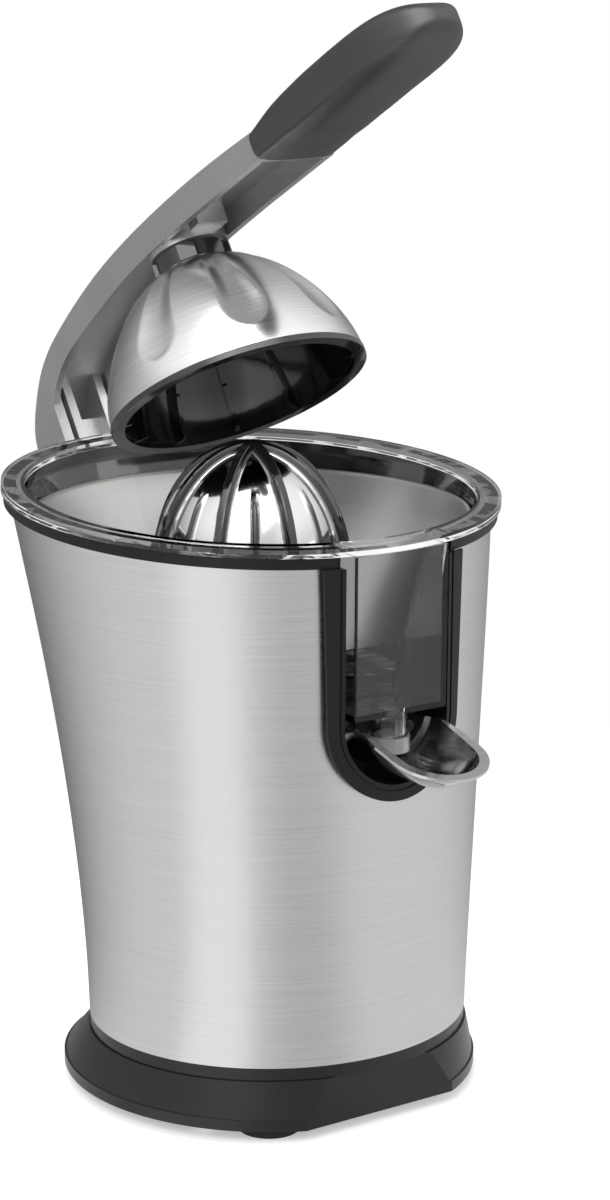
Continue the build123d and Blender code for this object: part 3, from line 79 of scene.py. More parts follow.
def node_in(tree, kind, place=(0, 0), **settings):
    """Adds one shader node.  Lower-case settings are its properties, the others its inputs."""
    made = tree.nodes.new(kind)
    made.location = place
    for key, value in settings.items():
        if key[0].islower():
            setattr(made, key, value)
        else:
            made.inputs[key.replace("_", " ")].default_value = value
    return made


def spread(tree, place, low, high, to_low=0.0, to_high=1.0, smooth=True):
    """Adds a Map Range node that takes low..high to to_low..to_high, eased if smooth."""
    return node_in(
        tree, "ShaderNodeMapRange", place, interpolation_type="SMOOTHSTEP" if smooth else "LINEAR",
        From_Min=low, From_Max=high, To_Min=to_low, To_Max=to_high,
    )


def wire(source, given, sink, taken):
    """Links one node's output to another's input, each by its label or its number."""
    source.id_data.links.new(source.outputs[given], sink.inputs[taken])


def group_of(name, inputs, outputs):
    """Starts a shader node group with the named sockets and returns it and its two ends."""
    made = bpy.data.node_groups.new(name, "ShaderNodeTree")
    for label, kind, value in inputs:
        socket = made.interface.new_socket(name=label, in_out="INPUT", socket_type=kind)
        if value is not None:
            socket.default_value = value
    for label, kind in outputs:
        made.interface.new_socket(name=label, in_out="OUTPUT", socket_type=kind)
    source = node_in(made, "NodeGroupInput", (-1000, 0))
    sink = node_in(made, "NodeGroupOutput", (800, 0))
    return made, source, sink


# The studio round the press, in compass degrees from +X towards +Y.  Each part has its middle,
# how far to either side it is full and where it ends, and what it adds to the wash.
wash = 0.80
tall_panel = (-145, 10, 20, 0.30)
panel_gap = (-105, 3, 30, -0.22)
dark_corner = (70, 0, 110, -0.64)
# Overhead the panels are brighter by this factor.
overhead_lift = 1.75
panel_group, panel_in, panel_out = group_of(
    "studio_panels", (("Way", "NodeSocketVector", None),), (("Level", "NodeSocketColor"),)
)
panel_split = node_in(panel_group, "ShaderNodeSeparateXYZ", (-700, 0))
wire(panel_in, "Way", panel_split, 0)
panel_turn = node_in(panel_group, "ShaderNodeMath", (-500, 0), operation="ARCTAN2")
wire(panel_split, "Y", panel_turn, 0)
wire(panel_split, "X", panel_turn, 1)
panel_degrees = node_in(panel_group, "ShaderNodeMath", (-350, 0), operation="DEGREES")
wire(panel_turn, 0, panel_degrees, 0)
panel_sum = node_in(panel_group, "ShaderNodeValue", (-350, 200))
panel_sum.outputs[0].default_value = wash
for middle, full, end, adds in (tall_panel, panel_gap, dark_corner):
    turn_from = node_in(panel_group, "ShaderNodeMath", (-200, 0), operation="SUBTRACT")
    turn_from.inputs[1].default_value = middle
    wire(panel_degrees, 0, turn_from, 0)
    # The short way round the compass.
    turn_short = node_in(panel_group, "ShaderNodeMath", (-100, 0), operation="WRAP")
    turn_short.inputs[1].default_value = 180
    turn_short.inputs[2].default_value = -180
    wire(turn_from, 0, turn_short, 0)
    turn_size = node_in(panel_group, "ShaderNodeMath", (0, 0), operation="ABSOLUTE")
    wire(turn_short, 0, turn_size, 0)
    part_level = spread(panel_group, (100, 0), full, end, adds, 0.0)
    wire(turn_size, 0, part_level, "Value")
    with_part = node_in(panel_group, "ShaderNodeMath", (200, 0), operation="ADD")
    wire(panel_sum, 0, with_part, 0)
    wire(part_level, 0, with_part, 1)
    panel_sum = with_part
panel_lift = spread(panel_group, (-300, -300), 0.05, 0.55, 1.0, overhead_lift)
wire(panel_split, "Z", panel_lift, "Value")
panel_level = node_in(panel_group, "ShaderNodeMixRGB", (250, 0), blend_type="MULTIPLY", Fac=1.0)
wire(panel_sum, 0, panel_level, "Color1")
wire(panel_lift, 0, panel_level, "Color2")
wire(panel_level, 0, panel_out, "Level")

world = bpy.data.worlds.new("studio")
scene.world = world
world.use_nodes = True
sky = world.node_tree
sky.nodes.clear()
sky_out = node_in(sky, "ShaderNodeOutputWorld", (900, 0))
sky_way = node_in(sky, "ShaderNodeTexCoord", (-500, 0))
sky_panels = node_in(sky, "ShaderNodeGroup", (-200, 0), node_tree=panel_group)
wire(sky_way, "Generated", sky_panels, "Way")
# The hot soft box fades out between these cosines of the angle from its middle.
box_edge, box_middle, box_level = 0.80, 0.97, 3.0
sky_near = node_in(sky, "ShaderNodeVectorMath", (-400, -250), operation="DOT_PRODUCT")
sky_near.inputs[1].default_value = compass_way(view_turn, math.radians(62))
wire(sky_way, "Generated", sky_near, 0)
sky_box = spread(sky, (-200, -250), box_edge, box_middle, 0.0, box_level)
wire(sky_near, "Value", sky_box, "Value")
sky_sum = node_in(sky, "ShaderNodeMixRGB", (0, -100), blend_type="ADD", Fac=1.0)
wire(sky_panels, "Level", sky_sum, "Color1")
wire(sky_box, 0, sky_sum, "Color2")
sky_plain = node_in(sky, "ShaderNodeBackground", (200, -200), Color=(0.72, 0.73, 0.75, 1), Strength=0.75)
sky_white = node_in(sky, "ShaderNodeBackground", (200, 300), Color=(1, 1, 1, 1), Strength=1.0)
sky_metal = node_in(sky, "ShaderNodeBackground", (200, 50), Strength=1.0)
wire(sky_sum, 0, sky_metal, "Color")
sky_path = node_in(sky, "ShaderNodeLightPath", (-100, 500))
sky_mix_a = node_in(sky, "ShaderNodeMixShader", (450, 0))
wire(sky_path, "Is Glossy Ray", sky_mix_a, 0)
wire(sky_plain, 0, sky_mix_a, 1)
wire(sky_metal, 0, sky_mix_a, 2)
sky_seen = node_in(sky, "ShaderNodeMath", (200, 500), operation="MAXIMUM")
wire(sky_path, "Is Camera Ray", sky_seen, 0)
wire(sky_path, "Is Transmission Ray", sky_seen, 1)
sky_mix_b = node_in(sky, "ShaderNodeMixShader", (680, 0))
wire(sky_seen, 0, sky_mix_b, 0)
wire(sky_mix_a, 0, sky_mix_b, 1)
wire(sky_white, 0, sky_mix_b, 2)
wire(sky_mix_b, 0, sky_out, "Surface")


def soft_box(name, place, aim, size, power):
    """Adds one rectangular area lamp at place, turned to face aim."""
    lamp = bpy.data.lights.new(name, "AREA")
    lamp.shape = "RECTANGLE"
    lamp.size, lamp.size_y = size
    lamp.energy = power
    holder = bpy.data.objects.new(name, lamp)
    scene.collection.objects.link(holder)
    holder.location = place
    way = Vector(aim) - Vector(place)
    holder.rotation_mode = "QUATERNION"
    holder.rotation_quaternion = way.to_track_quat("-Z", "Y")
    holder.visible_glossy = False


soft_box("key", (-1.1, -0.9, 1.3), (0, 0, 0.15), (0.9, 0.9), 14)
soft_box("fill", (1.2, -1.3, 0.7), (0, 0, 0.15), (0.8, 1.2), 8)
soft_box("top", (0.1, 0.3, 1.6), (0, 0, 0.2), (1.0, 1.0), 8)

floor_half = 6.0
# From the object's middle: where the floor's shadow starts to fade, and where white is reached.
shadow_from, shadow_to = 0.22, 0.60
floor_mesh = bpy.data.meshes.new("floor")
floor_mesh.from_pydata(
    [(-floor_half, -floor_half, 0), (floor_half, -floor_half, 0), (floor_half, floor_half, 0),
     (-floor_half, floor_half, 0)], [], [(0, 1, 2, 3)],
)
floor = bpy.data.objects.new("floor", floor_mesh)
scene.collection.objects.link(floor)
floor_paint = bpy.data.materials.new("floor_paint")
floor_paint.use_nodes = True
floor_tree = floor_paint.node_tree
floor_tree.nodes.clear()
floor_out = node_in(floor_tree, "ShaderNodeOutputMaterial", (900, 0))
floor_base = node_in(floor_tree, "ShaderNodeBsdfDiffuse", (0, 0), Color=(0.93, 0.93, 0.93, 1))
floor_glow = node_in(floor_tree, "ShaderNodeEmission", (0, -200), Color=(1, 1, 1, 1), Strength=0.42)
floor_add = node_in(floor_tree, "ShaderNodeAddShader", (250, 0))
wire(floor_base, 0, floor_add, 0)
wire(floor_glow, 0, floor_add, 1)
floor_way = node_in(floor_tree, "ShaderNodeTexCoord", (-700, 0))
floor_reach = node_in(floor_tree, "ShaderNodeVectorMath", (-450, 300), operation="LENGTH")
wire(floor_way, "Object", floor_reach, 0)
floor_fade = spread(floor_tree, (-200, 300), shadow_from, shadow_to)
wire(floor_reach, "Value", floor_fade, "Value")
floor_white = node_in(floor_tree, "ShaderNodeEmission", (250, -200), Color=(1, 1, 1, 1), Strength=1.0)
floor_seen = node_in(floor_tree, "ShaderNodeMixShader", (450, 100))
wire(floor_fade, 0, floor_seen, 0)
wire(floor_add, 0, floor_seen, 1)
wire(floor_white, 0, floor_seen, 2)
floor_path = node_in(floor_tree, "ShaderNodeLightPath", (-200, 600))
floor_mix = node_in(floor_tree, "ShaderNodeMixShader", (600, 0))
wire(floor_path, "Is Camera Ray", floor_mix, 0)
wire(floor_base, 0, floor_mix, 1)
wire(floor_seen, 0, floor_mix, 2)
floor_panels = node_in(floor_tree, "ShaderNodeGroup", (-200, -400), node_tree=panel_group)
wire(floor_way, "Object", floor_panels, "Way")
floor_metal = node_in(floor_tree, "ShaderNodeEmission", (250, -400), Strength=1.0)
wire(floor_panels, "Level", floor_metal, "Color")
floor_gloss = node_in(floor_tree, "ShaderNodeMixShader", (750, 0))
wire(floor_path, "Is Glossy Ray", floor_gloss, 0)
wire(floor_mix, 0, floor_gloss, 1)
wire(floor_metal, 0, floor_gloss, 2)
wire(floor_gloss, 0, floor_out, "Surface")
floor_mesh.materials.append(floor_paint)

# ------------------------------------------------------------------ base
# Black ABS plinth, moulded in one piece, with a plate screwed in from below.  It stands on
# rubber feet pressed into the plate, and the cord's gland sits in its rear wall.


# Moulded skin: fine spark-eroded grain, flecks of pigment, and a slow change of sheen.
skin_group, skin_in, skin_out = group_of(
    "moulded_skin",
    (
        ("Colour", "NodeSocketColor", (0.02, 0.02, 0.02, 1)),
        ("Roughness", "NodeSocketFloat", 0.45),
        ("Grain", "NodeSocketFloat", 2600.0),
        ("Depth", "NodeSocketFloat", 0.1),
        ("Speckle", "NodeSocketFloat", 0.0),
    ),
    (("Colour", "NodeSocketColor"), ("Roughness", "NodeSocketFloat"), ("Normal", "NodeSocketVector")),
)
skin_way = node_in(skin_group, "ShaderNodeTexCoord", (-1000, -300))
skin_grain = node_in(skin_group, "ShaderNodeTexNoise", (-700, -300), Detail=3.0)
wire(skin_way, "Object", skin_grain, "Vector")
wire(skin_in, "Grain", skin_grain, "Scale")
skin_slow = node_in(skin_group, "ShaderNodeTexNoise", (-700, 0), Scale=22.0, Detail=2.0)
wire(skin_way, "Object", skin_slow, "Vector")
skin_bump = node_in(skin_group, "ShaderNodeBump", (-300, -300), Distance=0.0002)
wire(skin_grain, "Fac", skin_bump, "Height")
wire(skin_in, "Depth", skin_bump, "Strength")
skin_shift = spread(skin_group, (-300, 0), 0.0, 1.0, -0.05, 0.05, smooth=False)
wire(skin_slow, "Fac", skin_shift, "Value")
skin_rough = node_in(skin_group, "ShaderNodeMath", (0, 0), operation="ADD")
wire(skin_in, "Roughness", skin_rough, 0)
wire(skin_shift, 0, skin_rough, 1)
skin_tone = node_in(skin_group, "ShaderNodeMixRGB", (0, 200), blend_type="MULTIPLY", Fac=0.25)
wire(skin_in, "Colour", skin_tone, "Color1")
wire(skin_slow, "Fac", skin_tone, "Color2")
skin_flecks = spread(skin_group, (-300, 400), 0.35, 0.65, 0.45, 1.7, smooth=False)
wire(skin_grain, "Fac", skin_flecks, "Value")
skin_fleck_tone = node_in(skin_group, "ShaderNodeMixRGB", (250, 200), blend_type="MULTIPLY")
wire(skin_in, "Speckle", skin_fleck_tone, "Fac")
wire(skin_tone, 0, skin_fleck_tone, "Color1")
wire(skin_flecks, 0, skin_fleck_tone, "Color2")
wire(skin_fleck_tone, 0, skin_out, "Colour")
wire(skin_rough, 0, skin_out, "Roughness")
wire(skin_bump, 0, skin_out, "Normal")


def finish_from(group, name, values, **plain):
    """Material whose Principled shader takes colour, roughness and normal from one group."""
    made = bpy.data.materials.new(name)
    made.use_nodes = True
    shader = made.node_tree.nodes["Principled BSDF"]
    for label, value in plain.items():
        shader.inputs[label.replace("_", " ")].default_value = value
    look = node_in(made.node_tree, "ShaderNodeGroup", (-400, 0), node_tree=group)
    for label, value in values.items():
        look.inputs[label].default_value = value
    wire(look, "Colour", shader, "Base Color")
    wire(look, "Roughness", shader, "Roughness")
    wire(look, "Normal", shader, "Normal")
    return made


def dress(material, *names):
    """Gives the named CAD nodes one material in place of their packed one."""
    for name in names:
        mesh = nodes[name].data
        mesh.materials.clear()
        mesh.materials.append(material)


plinth_black = finish_from(
    skin_group, "plinth_black",
    {"Colour": (0.005, 0.005, 0.006, 1), "Roughness": 0.27, "Grain": 2400.0, "Depth": 0.16},
    Specular_IOR_Level=0.5,
)
dress(plinth_black, "base_plinth")
satin_black = finish_from(
    skin_group, "satin_black",
    {"Colour": (0.007, 0.007, 0.008, 1), "Roughness": 0.36, "Grain": 2400.0, "Depth": 0.12},
    Specular_IOR_Level=0.3,
)
dress(satin_black, "base_plate")
foot_rubber = finish_from(
    skin_group, "foot_rubber",
    {"Colour": (0.012, 0.012, 0.012, 1), "Roughness": 0.7, "Grain": 1500.0, "Depth": 0.3},
)
dress(foot_rubber, "base_feet", "cord_gland")

# ------------------------------------------------------------------ housing
# Body spun from stainless sheet and brushed round, slotted at the front.  A black band grips
# its top edge, a black surround is clipped into the slot, and a black tub hangs inside.


# Brushed grain: fine lines across the given axis, in height, sheen and tone.
steel_group, steel_in, steel_out = group_of(
    "brushed_grain",
    (
        ("Colour", "NodeSocketColor", (0.6, 0.6, 0.59, 1)),
        ("Roughness", "NodeSocketFloat", 0.3),
        ("Lines", "NodeSocketVector", (14.0, 14.0, 2200.0)),
        ("Turn", "NodeSocketVector", (0.0, 0.0, 0.0)),
        ("Depth", "NodeSocketFloat", 0.12),
    ),
    (("Colour", "NodeSocketColor"), ("Roughness", "NodeSocketFloat"), ("Normal", "NodeSocketVector")),
)
steel_way = node_in(steel_group, "ShaderNodeTexCoord", (-1200, -300))
steel_turn = node_in(steel_group, "ShaderNodeVectorRotate", (-1000, -300), rotation_type="EULER_XYZ")
wire(steel_way, "Object", steel_turn, "Vector")
wire(steel_in, "Turn", steel_turn, "Rotation")
steel_scale = node_in(steel_group, "ShaderNodeVectorMath", (-800, -300), operation="MULTIPLY")
wire(steel_turn, 0, steel_scale, 0)
wire(steel_in, "Lines", steel_scale, 1)
steel_lines = node_in(
    steel_group, "ShaderNodeTexNoise", (-600, -300), Scale=1.0, Detail=4.0, Roughness=0.65
)
wire(steel_scale, 0, steel_lines, "Vector")
steel_bump = node_in(steel_group, "ShaderNodeBump", (-200, -300), Distance=0.0001)
wire(steel_lines, "Fac", steel_bump, "Height")
wire(steel_in, "Depth", steel_bump, "Strength")
steel_shift = spread(steel_group, (-300, 0), 0.0, 1.0, -0.1, 0.1, smooth=False)
wire(steel_lines, "Fac", steel_shift, "Value")
steel_rough = node_in(steel_group, "ShaderNodeMath", (0, 0), operation="ADD")
wire(steel_in, "Roughness", steel_rough, 0)
wire(steel_shift, 0, steel_rough, 1)
steel_tint = spread(steel_group, (-300, 250), 0.0, 1.0, 0.82, 1.12, smooth=False)
wire(steel_lines, "Fac", steel_tint, "Value")
steel_tone = node_in(steel_group, "ShaderNodeMixRGB", (0, 200), blend_type="MULTIPLY", Fac=1.0)
wire(steel_in, "Colour", steel_tone, "Color1")
wire(steel_tint, 0, steel_tone, "Color2")
wire(steel_tone, 0, steel_out, "Colour")
wire(steel_rough, 0, steel_out, "Roughness")
wire(steel_bump, 0, steel_out, "Normal")

housing_steel = finish_from(
    steel_group, "housing_steel", {"Colour": (0.72, 0.715, 0.705, 1), "Roughness": 0.30}, Metallic=1.0
)
dress(housing_steel, "housing_shell")
dress(satin_black, "rim_band", "spout_surround", "inner_tub")

# ------------------------------------------------------------------ drive
# Motor, white acetal gears and grey case in the housing, with the zinc-plated screws, pins and
# spring that hold them.  The bush is bronze, and the shaft's seal is rubber.
plain_steel = finish_from(
    steel_group, "plain_steel",
    {"Colour": (0.55, 0.55, 0.56, 1), "Roughness": 0.3, "Lines": (300, 300, 300), "Depth": 0.05},
    Metallic=1.0,
)
dress(
    plain_steel, "base_screws", "leg_screws", "idler_pin", "motor_can", "motor_rotor", "return_spring",
    "drive_shaft",
)
bush_bronze = finish_from(
    steel_group, "bush_bronze",
    {"Colour": (0.5, 0.32, 0.16, 1), "Roughness": 0.4, "Lines": (400, 400, 400)},
    Metallic=1.0,
)
dress(bush_bronze, "shaft_bush", "motor_pinion")
gear_white = finish_from(
    skin_group, "gear_white",
    {"Colour": (0.75, 0.75, 0.72, 1), "Roughness": 0.4, "Grain": 900.0, "Depth": 0.05},
)
dress(gear_white, "idler_gear", "output_gear", "press_plunger")
case_grey = finish_from(
    skin_group, "case_grey",
    {"Colour": (0.22, 0.22, 0.23, 1), "Roughness": 0.5, "Grain": 1500.0, "Depth": 0.15},
)
dress(case_grey, "gearbox_case", "gearbox_cover")
dress(satin_black, "start_switch")
dress(foot_rubber, "shaft_seal")

# ------------------------------------------------------------------ collector and strainer
# Clear moulded bowl that rests on the rim, with a beak through the slot and a milky ring on its
# outlet.  The perforated strainer is pressed from steel and drops into the bowl.
clear_plastic = bpy.data.materials.new("clear_plastic")
clear_plastic.use_nodes = True
clear_shader = clear_plastic.node_tree.nodes["Principled BSDF"]
clear_shader.inputs["Base Color"].default_value = (0.93, 0.94, 0.95, 1)
clear_shader.inputs["Roughness"].default_value = 0.04
clear_shader.inputs["IOR"].default_value = 1.45
clear_shader.inputs["Transmission Weight"].default_value = 1.0
dress(clear_plastic, "juice_collector")
# The beak's flat window reflects less than the bowl.
clear_front = clear_plastic.copy()
clear_front.name = "clear_front"
clear_front.node_tree.nodes["Principled BSDF"].inputs["Specular IOR Level"].default_value = 0.2
dress(clear_front, "collector_beak")
milky_silicone = finish_from(
    skin_group, "milky_silicone",
    {"Colour": (0.22, 0.225, 0.22, 1), "Roughness": 0.25, "Grain": 900.0, "Depth": 0.05},
)
dress(milky_silicone, "outlet_seal")
strainer_steel = finish_from(
    steel_group, "strainer_steel", {"Colour": (0.62, 0.61, 0.60, 1), "Roughness": 0.33}, Metallic=1.0
)
dress(strainer_steel, "strainer", "strainer_floor")

# ------------------------------------------------------------------ reamer
# Glossy black cone with eight long ribs and eight short ones, pushed on the drive shaft.
# Its flutes are painted a light metallic grey as a painted reflection on the black plastic.


def round_mesh(name, grid, wrap_rows=False, low_tip=None, high_tip=None):
    """Smooth mesh over a grid of points whose columns run round and close.  The rows close
    too where wrap_rows is set, and otherwise a tip closes the first or the last row with a fan.
    All faces are turned over where the enclosed volume, a third of the sum of corner triple
    products, comes out negative."""
    rows, columns = grid.shape[:2]
    points = grid.reshape(-1, 3)
    index = np.arange(rows * columns).reshape(rows, columns)
    beside = np.roll(index, -1, axis=1)
    above = np.roll(index, -1, axis=0) if wrap_rows else index[1:]
    across = np.roll(beside, -1, axis=0) if wrap_rows else beside[1:]
    count = rows if wrap_rows else rows - 1
    quads = np.stack((index[:count], beside[:count], across, above), axis=-1).reshape(-1, 4)
    halves = [quads[:, (0, 1, 2)], quads[:, (0, 2, 3)]]
    fans = []
    if low_tip is not None:
        fans.append(np.stack((beside[0], index[0], np.full(columns, len(points))), axis=-1))
        points = np.vstack((points, low_tip))
    if high_tip is not None:
        fans.append(np.stack((index[-1], beside[-1], np.full(columns, len(points))), axis=-1))
        points = np.vstack((points, high_tip))
    corners = points[np.vstack(halves + fans)]
    volume = np.einsum("ij,ij->i", corners[:, 0], np.cross(corners[:, 1], corners[:, 2])).sum()
    step = 1 if volume > 0 else -1
    faces = quads[:, ::step].tolist()
    for fan in fans:
        faces += fan[:, ::step].tolist()
    mesh = bpy.data.meshes.new(name)
    mesh.from_pydata(points.tolist(), [], faces)
    mesh.polygons.foreach_set("use_smooth", np.ones(len(faces), dtype=bool))
    mesh.set_sharp_from_angle(angle=math.radians(40))
    made = bpy.data.objects.new(name, mesh)
    scene.collection.objects.link(made)
    return made


def smooth_step(value):
    """Rises from 0 to 1 as value does: three squares less two cubes."""
    value = np.clip(value, 0, 1)
    return value * value * (3 - 2 * value)


cone_radius, cone_tall, cone_foot = 0.041, 0.051, 0.206
cone_bore, cone_skirt = 0.0042, 0.199
skirt_radius, skirt_top, skirt_round, skirt_middle = 0.042, 0.2025, 0.0006, 0.030
skirt_face = skirt_radius - 0.0005
rib_depth, rib_count, rib_first = 0.0034, 8, math.radians(10)
rib_half, rib_soft = 0.0021, 0.0008
short_half, short_soft, short_stand = 0.0011, 0.0009, 0.55
short_fade_from, short_fade = 0.62, 0.25


def cone_surface(lift, turn):
    """Ellipse of revolution, radius by the cosine and height by the sine of lift.  Between the
    ribs it is drawn in by the rib depth: a rib's share falls from 1 to 0 with the distance
    across it, and short ribs stand half as high and end two thirds of the way up."""
    def rib_share(first, half, soft):
        pitch = 2 * math.pi / rib_count
        off = np.abs((turn - first + pitch / 2) % pitch - pitch / 2)
        across = cone_radius * np.cos(lift) * np.sin(off)
        return 1 - smooth_step((across - half + soft) / (2.4 * soft))
    long_share = rib_share(rib_first, rib_half, rib_soft)
    short_share = rib_share(rib_first + math.pi / rib_count, short_half, short_soft)
    short_share = short_share * (1 - smooth_step((lift - short_fade_from) / short_fade)) * short_stand
    inward = rib_depth * (1 - np.maximum(long_share, short_share))
    radius = (cone_radius - inward) * np.cos(lift)
    height = cone_foot + (cone_tall - inward) * np.sin(lift)
    return np.stack((radius * np.sin(turn), radius * np.cos(turn), height), axis=-1), inward / rib_depth


turn_row = np.linspace(0, 2 * math.pi, 480, endpoint=False)
lift_rows = math.pi / 2 * np.linspace(0, 1, 60)[:-1] ** 0.9
cone_lift, cone_turn = np.meshgrid(lift_rows, turn_row, indexing="ij")
cone_grid, cone_flute = cone_surface(cone_lift, cone_turn)
foot_row = cone_grid[:1].copy()
foot_row[..., 2] = skirt_top
compass = np.stack((np.sin(turn_row), np.cos(turn_row)), axis=-1)


def level_ring(radius, height):
    """One row of points at a constant radius and height."""
    return np.concatenate((radius * compass, np.full((len(compass), 1), height)), axis=-1)[None]


skirt_rows = (
    level_ring(cone_bore, cone_skirt), level_ring(skirt_middle, cone_skirt),
    level_ring(skirt_face, cone_skirt), level_ring(skirt_radius, cone_skirt + skirt_round),
    level_ring(skirt_radius, skirt_top - skirt_round), level_ring(skirt_face, skirt_top), foot_row,
)
cone_piece = round_mesh(
    "reamer", np.concatenate(skirt_rows + (cone_grid,)),
    low_tip=(0, 0, cone_skirt), high_tip=(0, 0, cone_foot + cone_tall),
)
flute_from = len(skirt_rows) * len(turn_row)
flute_share = np.zeros(len(cone_piece.data.vertices), dtype=np.float32)
flute_share[flute_from:flute_from + cone_flute.size] = cone_flute.ravel()
flute_mark = cone_piece.data.attributes.new("flute", "FLOAT", "POINT")
flute_mark.data.foreach_set("value", flute_share)

cone_gloss = finish_from(
    skin_group, "cone_gloss",
    {"Colour": (0.014, 0.014, 0.015, 1), "Roughness": 0.1, "Grain": 700.0, "Depth": 0.01},
    Coat_Weight=0.6, Coat_Roughness=0.04,
)
cone_tree = cone_gloss.node_tree
cone_shader = cone_tree.nodes["Principled BSDF"]
cone_mark = node_in(cone_tree, "ShaderNodeAttribute", (-900, 300), attribute_name="flute")
# Painted reflection: deep in the flutes the colour turns a light metallic grey and metallic, standing in
# for the bright reflections there.
flute_painted_sheen = spread(cone_tree, (-700, 300), 0.55, 0.95)
wire(cone_mark, "Fac", flute_painted_sheen, "Value")
cone_colour_with_painted_sheen = node_in(cone_tree, "ShaderNodeMixRGB", (-200, 300), Color2=(0.62, 0.62, 0.63, 1))
wire(flute_painted_sheen, 0, cone_colour_with_painted_sheen, "Fac")
wire(cone_tree.nodes["Group"], "Colour", cone_colour_with_painted_sheen, "Color1")
wire(cone_colour_with_painted_sheen, 0, cone_shader, "Base Color")
wire(flute_painted_sheen, 0, cone_shader, "Metallic")
cone_piece.data.materials.append(cone_gloss)
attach(cone_piece, "spindle_body")
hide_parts("reamer_cone")

# ------------------------------------------------------------------ hinge and lever arm
# Pressed steel bracket screwed to the housing's back under a black cover, with a pin through
# its ears.  The arm is die-cast and grained on its flanges' outer faces, which are also painted a
# darker grey than the smooth silver of its other faces, as painted shade on its sides.
dress(plain_steel, "hinge_bracket", "bracket_screws", "hinge_pin")
dress(satin_black, "hinge_cover")
arm_paint = finish_from(
    skin_group, "arm_paint",
    {"Colour": (0.36, 0.36, 0.365, 1), "Roughness": 0.38, "Grain": 2300.0, "Depth": 0.6, "Speckle": 0.45},
)
arm_tree = arm_paint.node_tree
arm_shader = arm_tree.nodes["Principled BSDF"]
arm_look = arm_tree.nodes["Group"]
# A flange's outer face looks along X, which the lever turns about.
arm_face = node_in(arm_tree, "ShaderNodeNewGeometry", (-1300, 300))
arm_split = node_in(arm_tree, "ShaderNodeSeparateXYZ", (-1100, 300))
wire(arm_face, "Normal", arm_split, 0)
arm_side = node_in(arm_tree, "ShaderNodeMath", (-900, 300), operation="ABSOLUTE")
wire(arm_split, "X", arm_side, 0)
# Painted shade: faces looking along X take the darker grained grey and the rest a bright silver, so the
# sides come out darker than the top.
arm_side_shade_mask = spread(arm_tree, (-700, 300), 0.80, 0.97)
wire(arm_side, 0, arm_side_shade_mask, "Value")
arm_colour_with_painted_shade = node_in(arm_tree, "ShaderNodeMixRGB", (-200, 500), Color1=(0.66, 0.66, 0.66, 1))
wire(arm_side_shade_mask, 0, arm_colour_with_painted_shade, "Fac")
wire(arm_look, "Colour", arm_colour_with_painted_shade, "Color2")
wire(arm_colour_with_painted_shade, 0, arm_shader, "Base Color")
# Roughness and metal of the smooth silver, then of the painted grain.
arm_rough = spread(arm_tree, (-200, 300), 0.0, 1.0, 0.26, smooth=False)
wire(arm_side_shade_mask, 0, arm_rough, "Value")
wire(arm_look, "Roughness", arm_rough, "To Max")
wire(arm_rough, 0, arm_shader, "Roughness")
arm_metal = spread(arm_tree, (-200, 100), 0.0, 1.0, 0.95, 0.5, smooth=False)
wire(arm_side_shade_mask, 0, arm_metal, "Value")
wire(arm_metal, 0, arm_shader, "Metallic")
dress(arm_paint, "lever_arm")

# ------------------------------------------------------------------ dome
# Cup pressed from brushed steel sheet, with eight leaf-shaped dents from the collar down.  A
# bolt holds it, its ribbed black liner and its black collar under the lever's post.  It is
# drawn level and then raised with the lever.
hinge_y, hinge_z = 0.114, 0.227
lever_rise = math.radians(-33)


def raised(points):
    """Turns points about the hinge line by the lever's rise: y and z mix by its cosine and sine."""
    y, z = points[..., 1] - hinge_y, points[..., 2] - hinge_z
    cosine, sine = math.cos(lever_rise), math.sin(lever_rise)
    return np.stack((
        points[..., 0], hinge_y + y * cosine - z * sine, hinge_z + y * sine + z * cosine
    ), axis=-1)


dome_radius, dome_axis, dome_tall, dome_rim, dome_sheet = 0.052, 0.056, 0.053, 0.210, 0.0034
dome_fullness, dome_flat, bolt_hole = 1.6, 0.010, 0.0026
dent_first, dent_count, dent_deep, dent_low = math.radians(20), 8, 0.0029, 0.0085
leaf_narrow, leaf_swell, leaf_close = 0.0028, 0.0086, 0.72


def dome_surface(climb, turn):
    """Swollen cone, its radius the root of one less the height's share raised to the fullness.
    A dent is a leaf round its own meridian, deepest in its middle and level with the steel at
    its edge.  Its width swells from the collar and closes in a round end above the rim."""
    radius = dome_radius * np.sqrt(np.clip(1 - (climb / dome_axis) ** dome_fullness, 0, 1))
    pitch = 2 * math.pi / dent_count
    off = (turn - dent_first + pitch / 2) % pitch - pitch / 2
    share = np.clip((dome_tall - climb) / (dome_tall - dent_low), 0, 1)
    closing = np.clip((share - leaf_close) / (1 - leaf_close), 0, 1)
    width = (leaf_narrow + leaf_swell * share ** 0.9) * np.sqrt(1 - closing ** 2)
    across = np.clip(np.abs(radius * np.sin(off)) / np.maximum(width, 1e-6), 0, 1)
    deep = dent_deep * (1 - across ** 2) ** 1.4 * np.sin(math.pi * share ** 0.85) ** 0.6
    radius = radius - np.where(share < 1, deep, 0)
    return np.stack((radius * np.sin(turn), radius * np.cos(turn), dome_rim + climb), axis=-1)


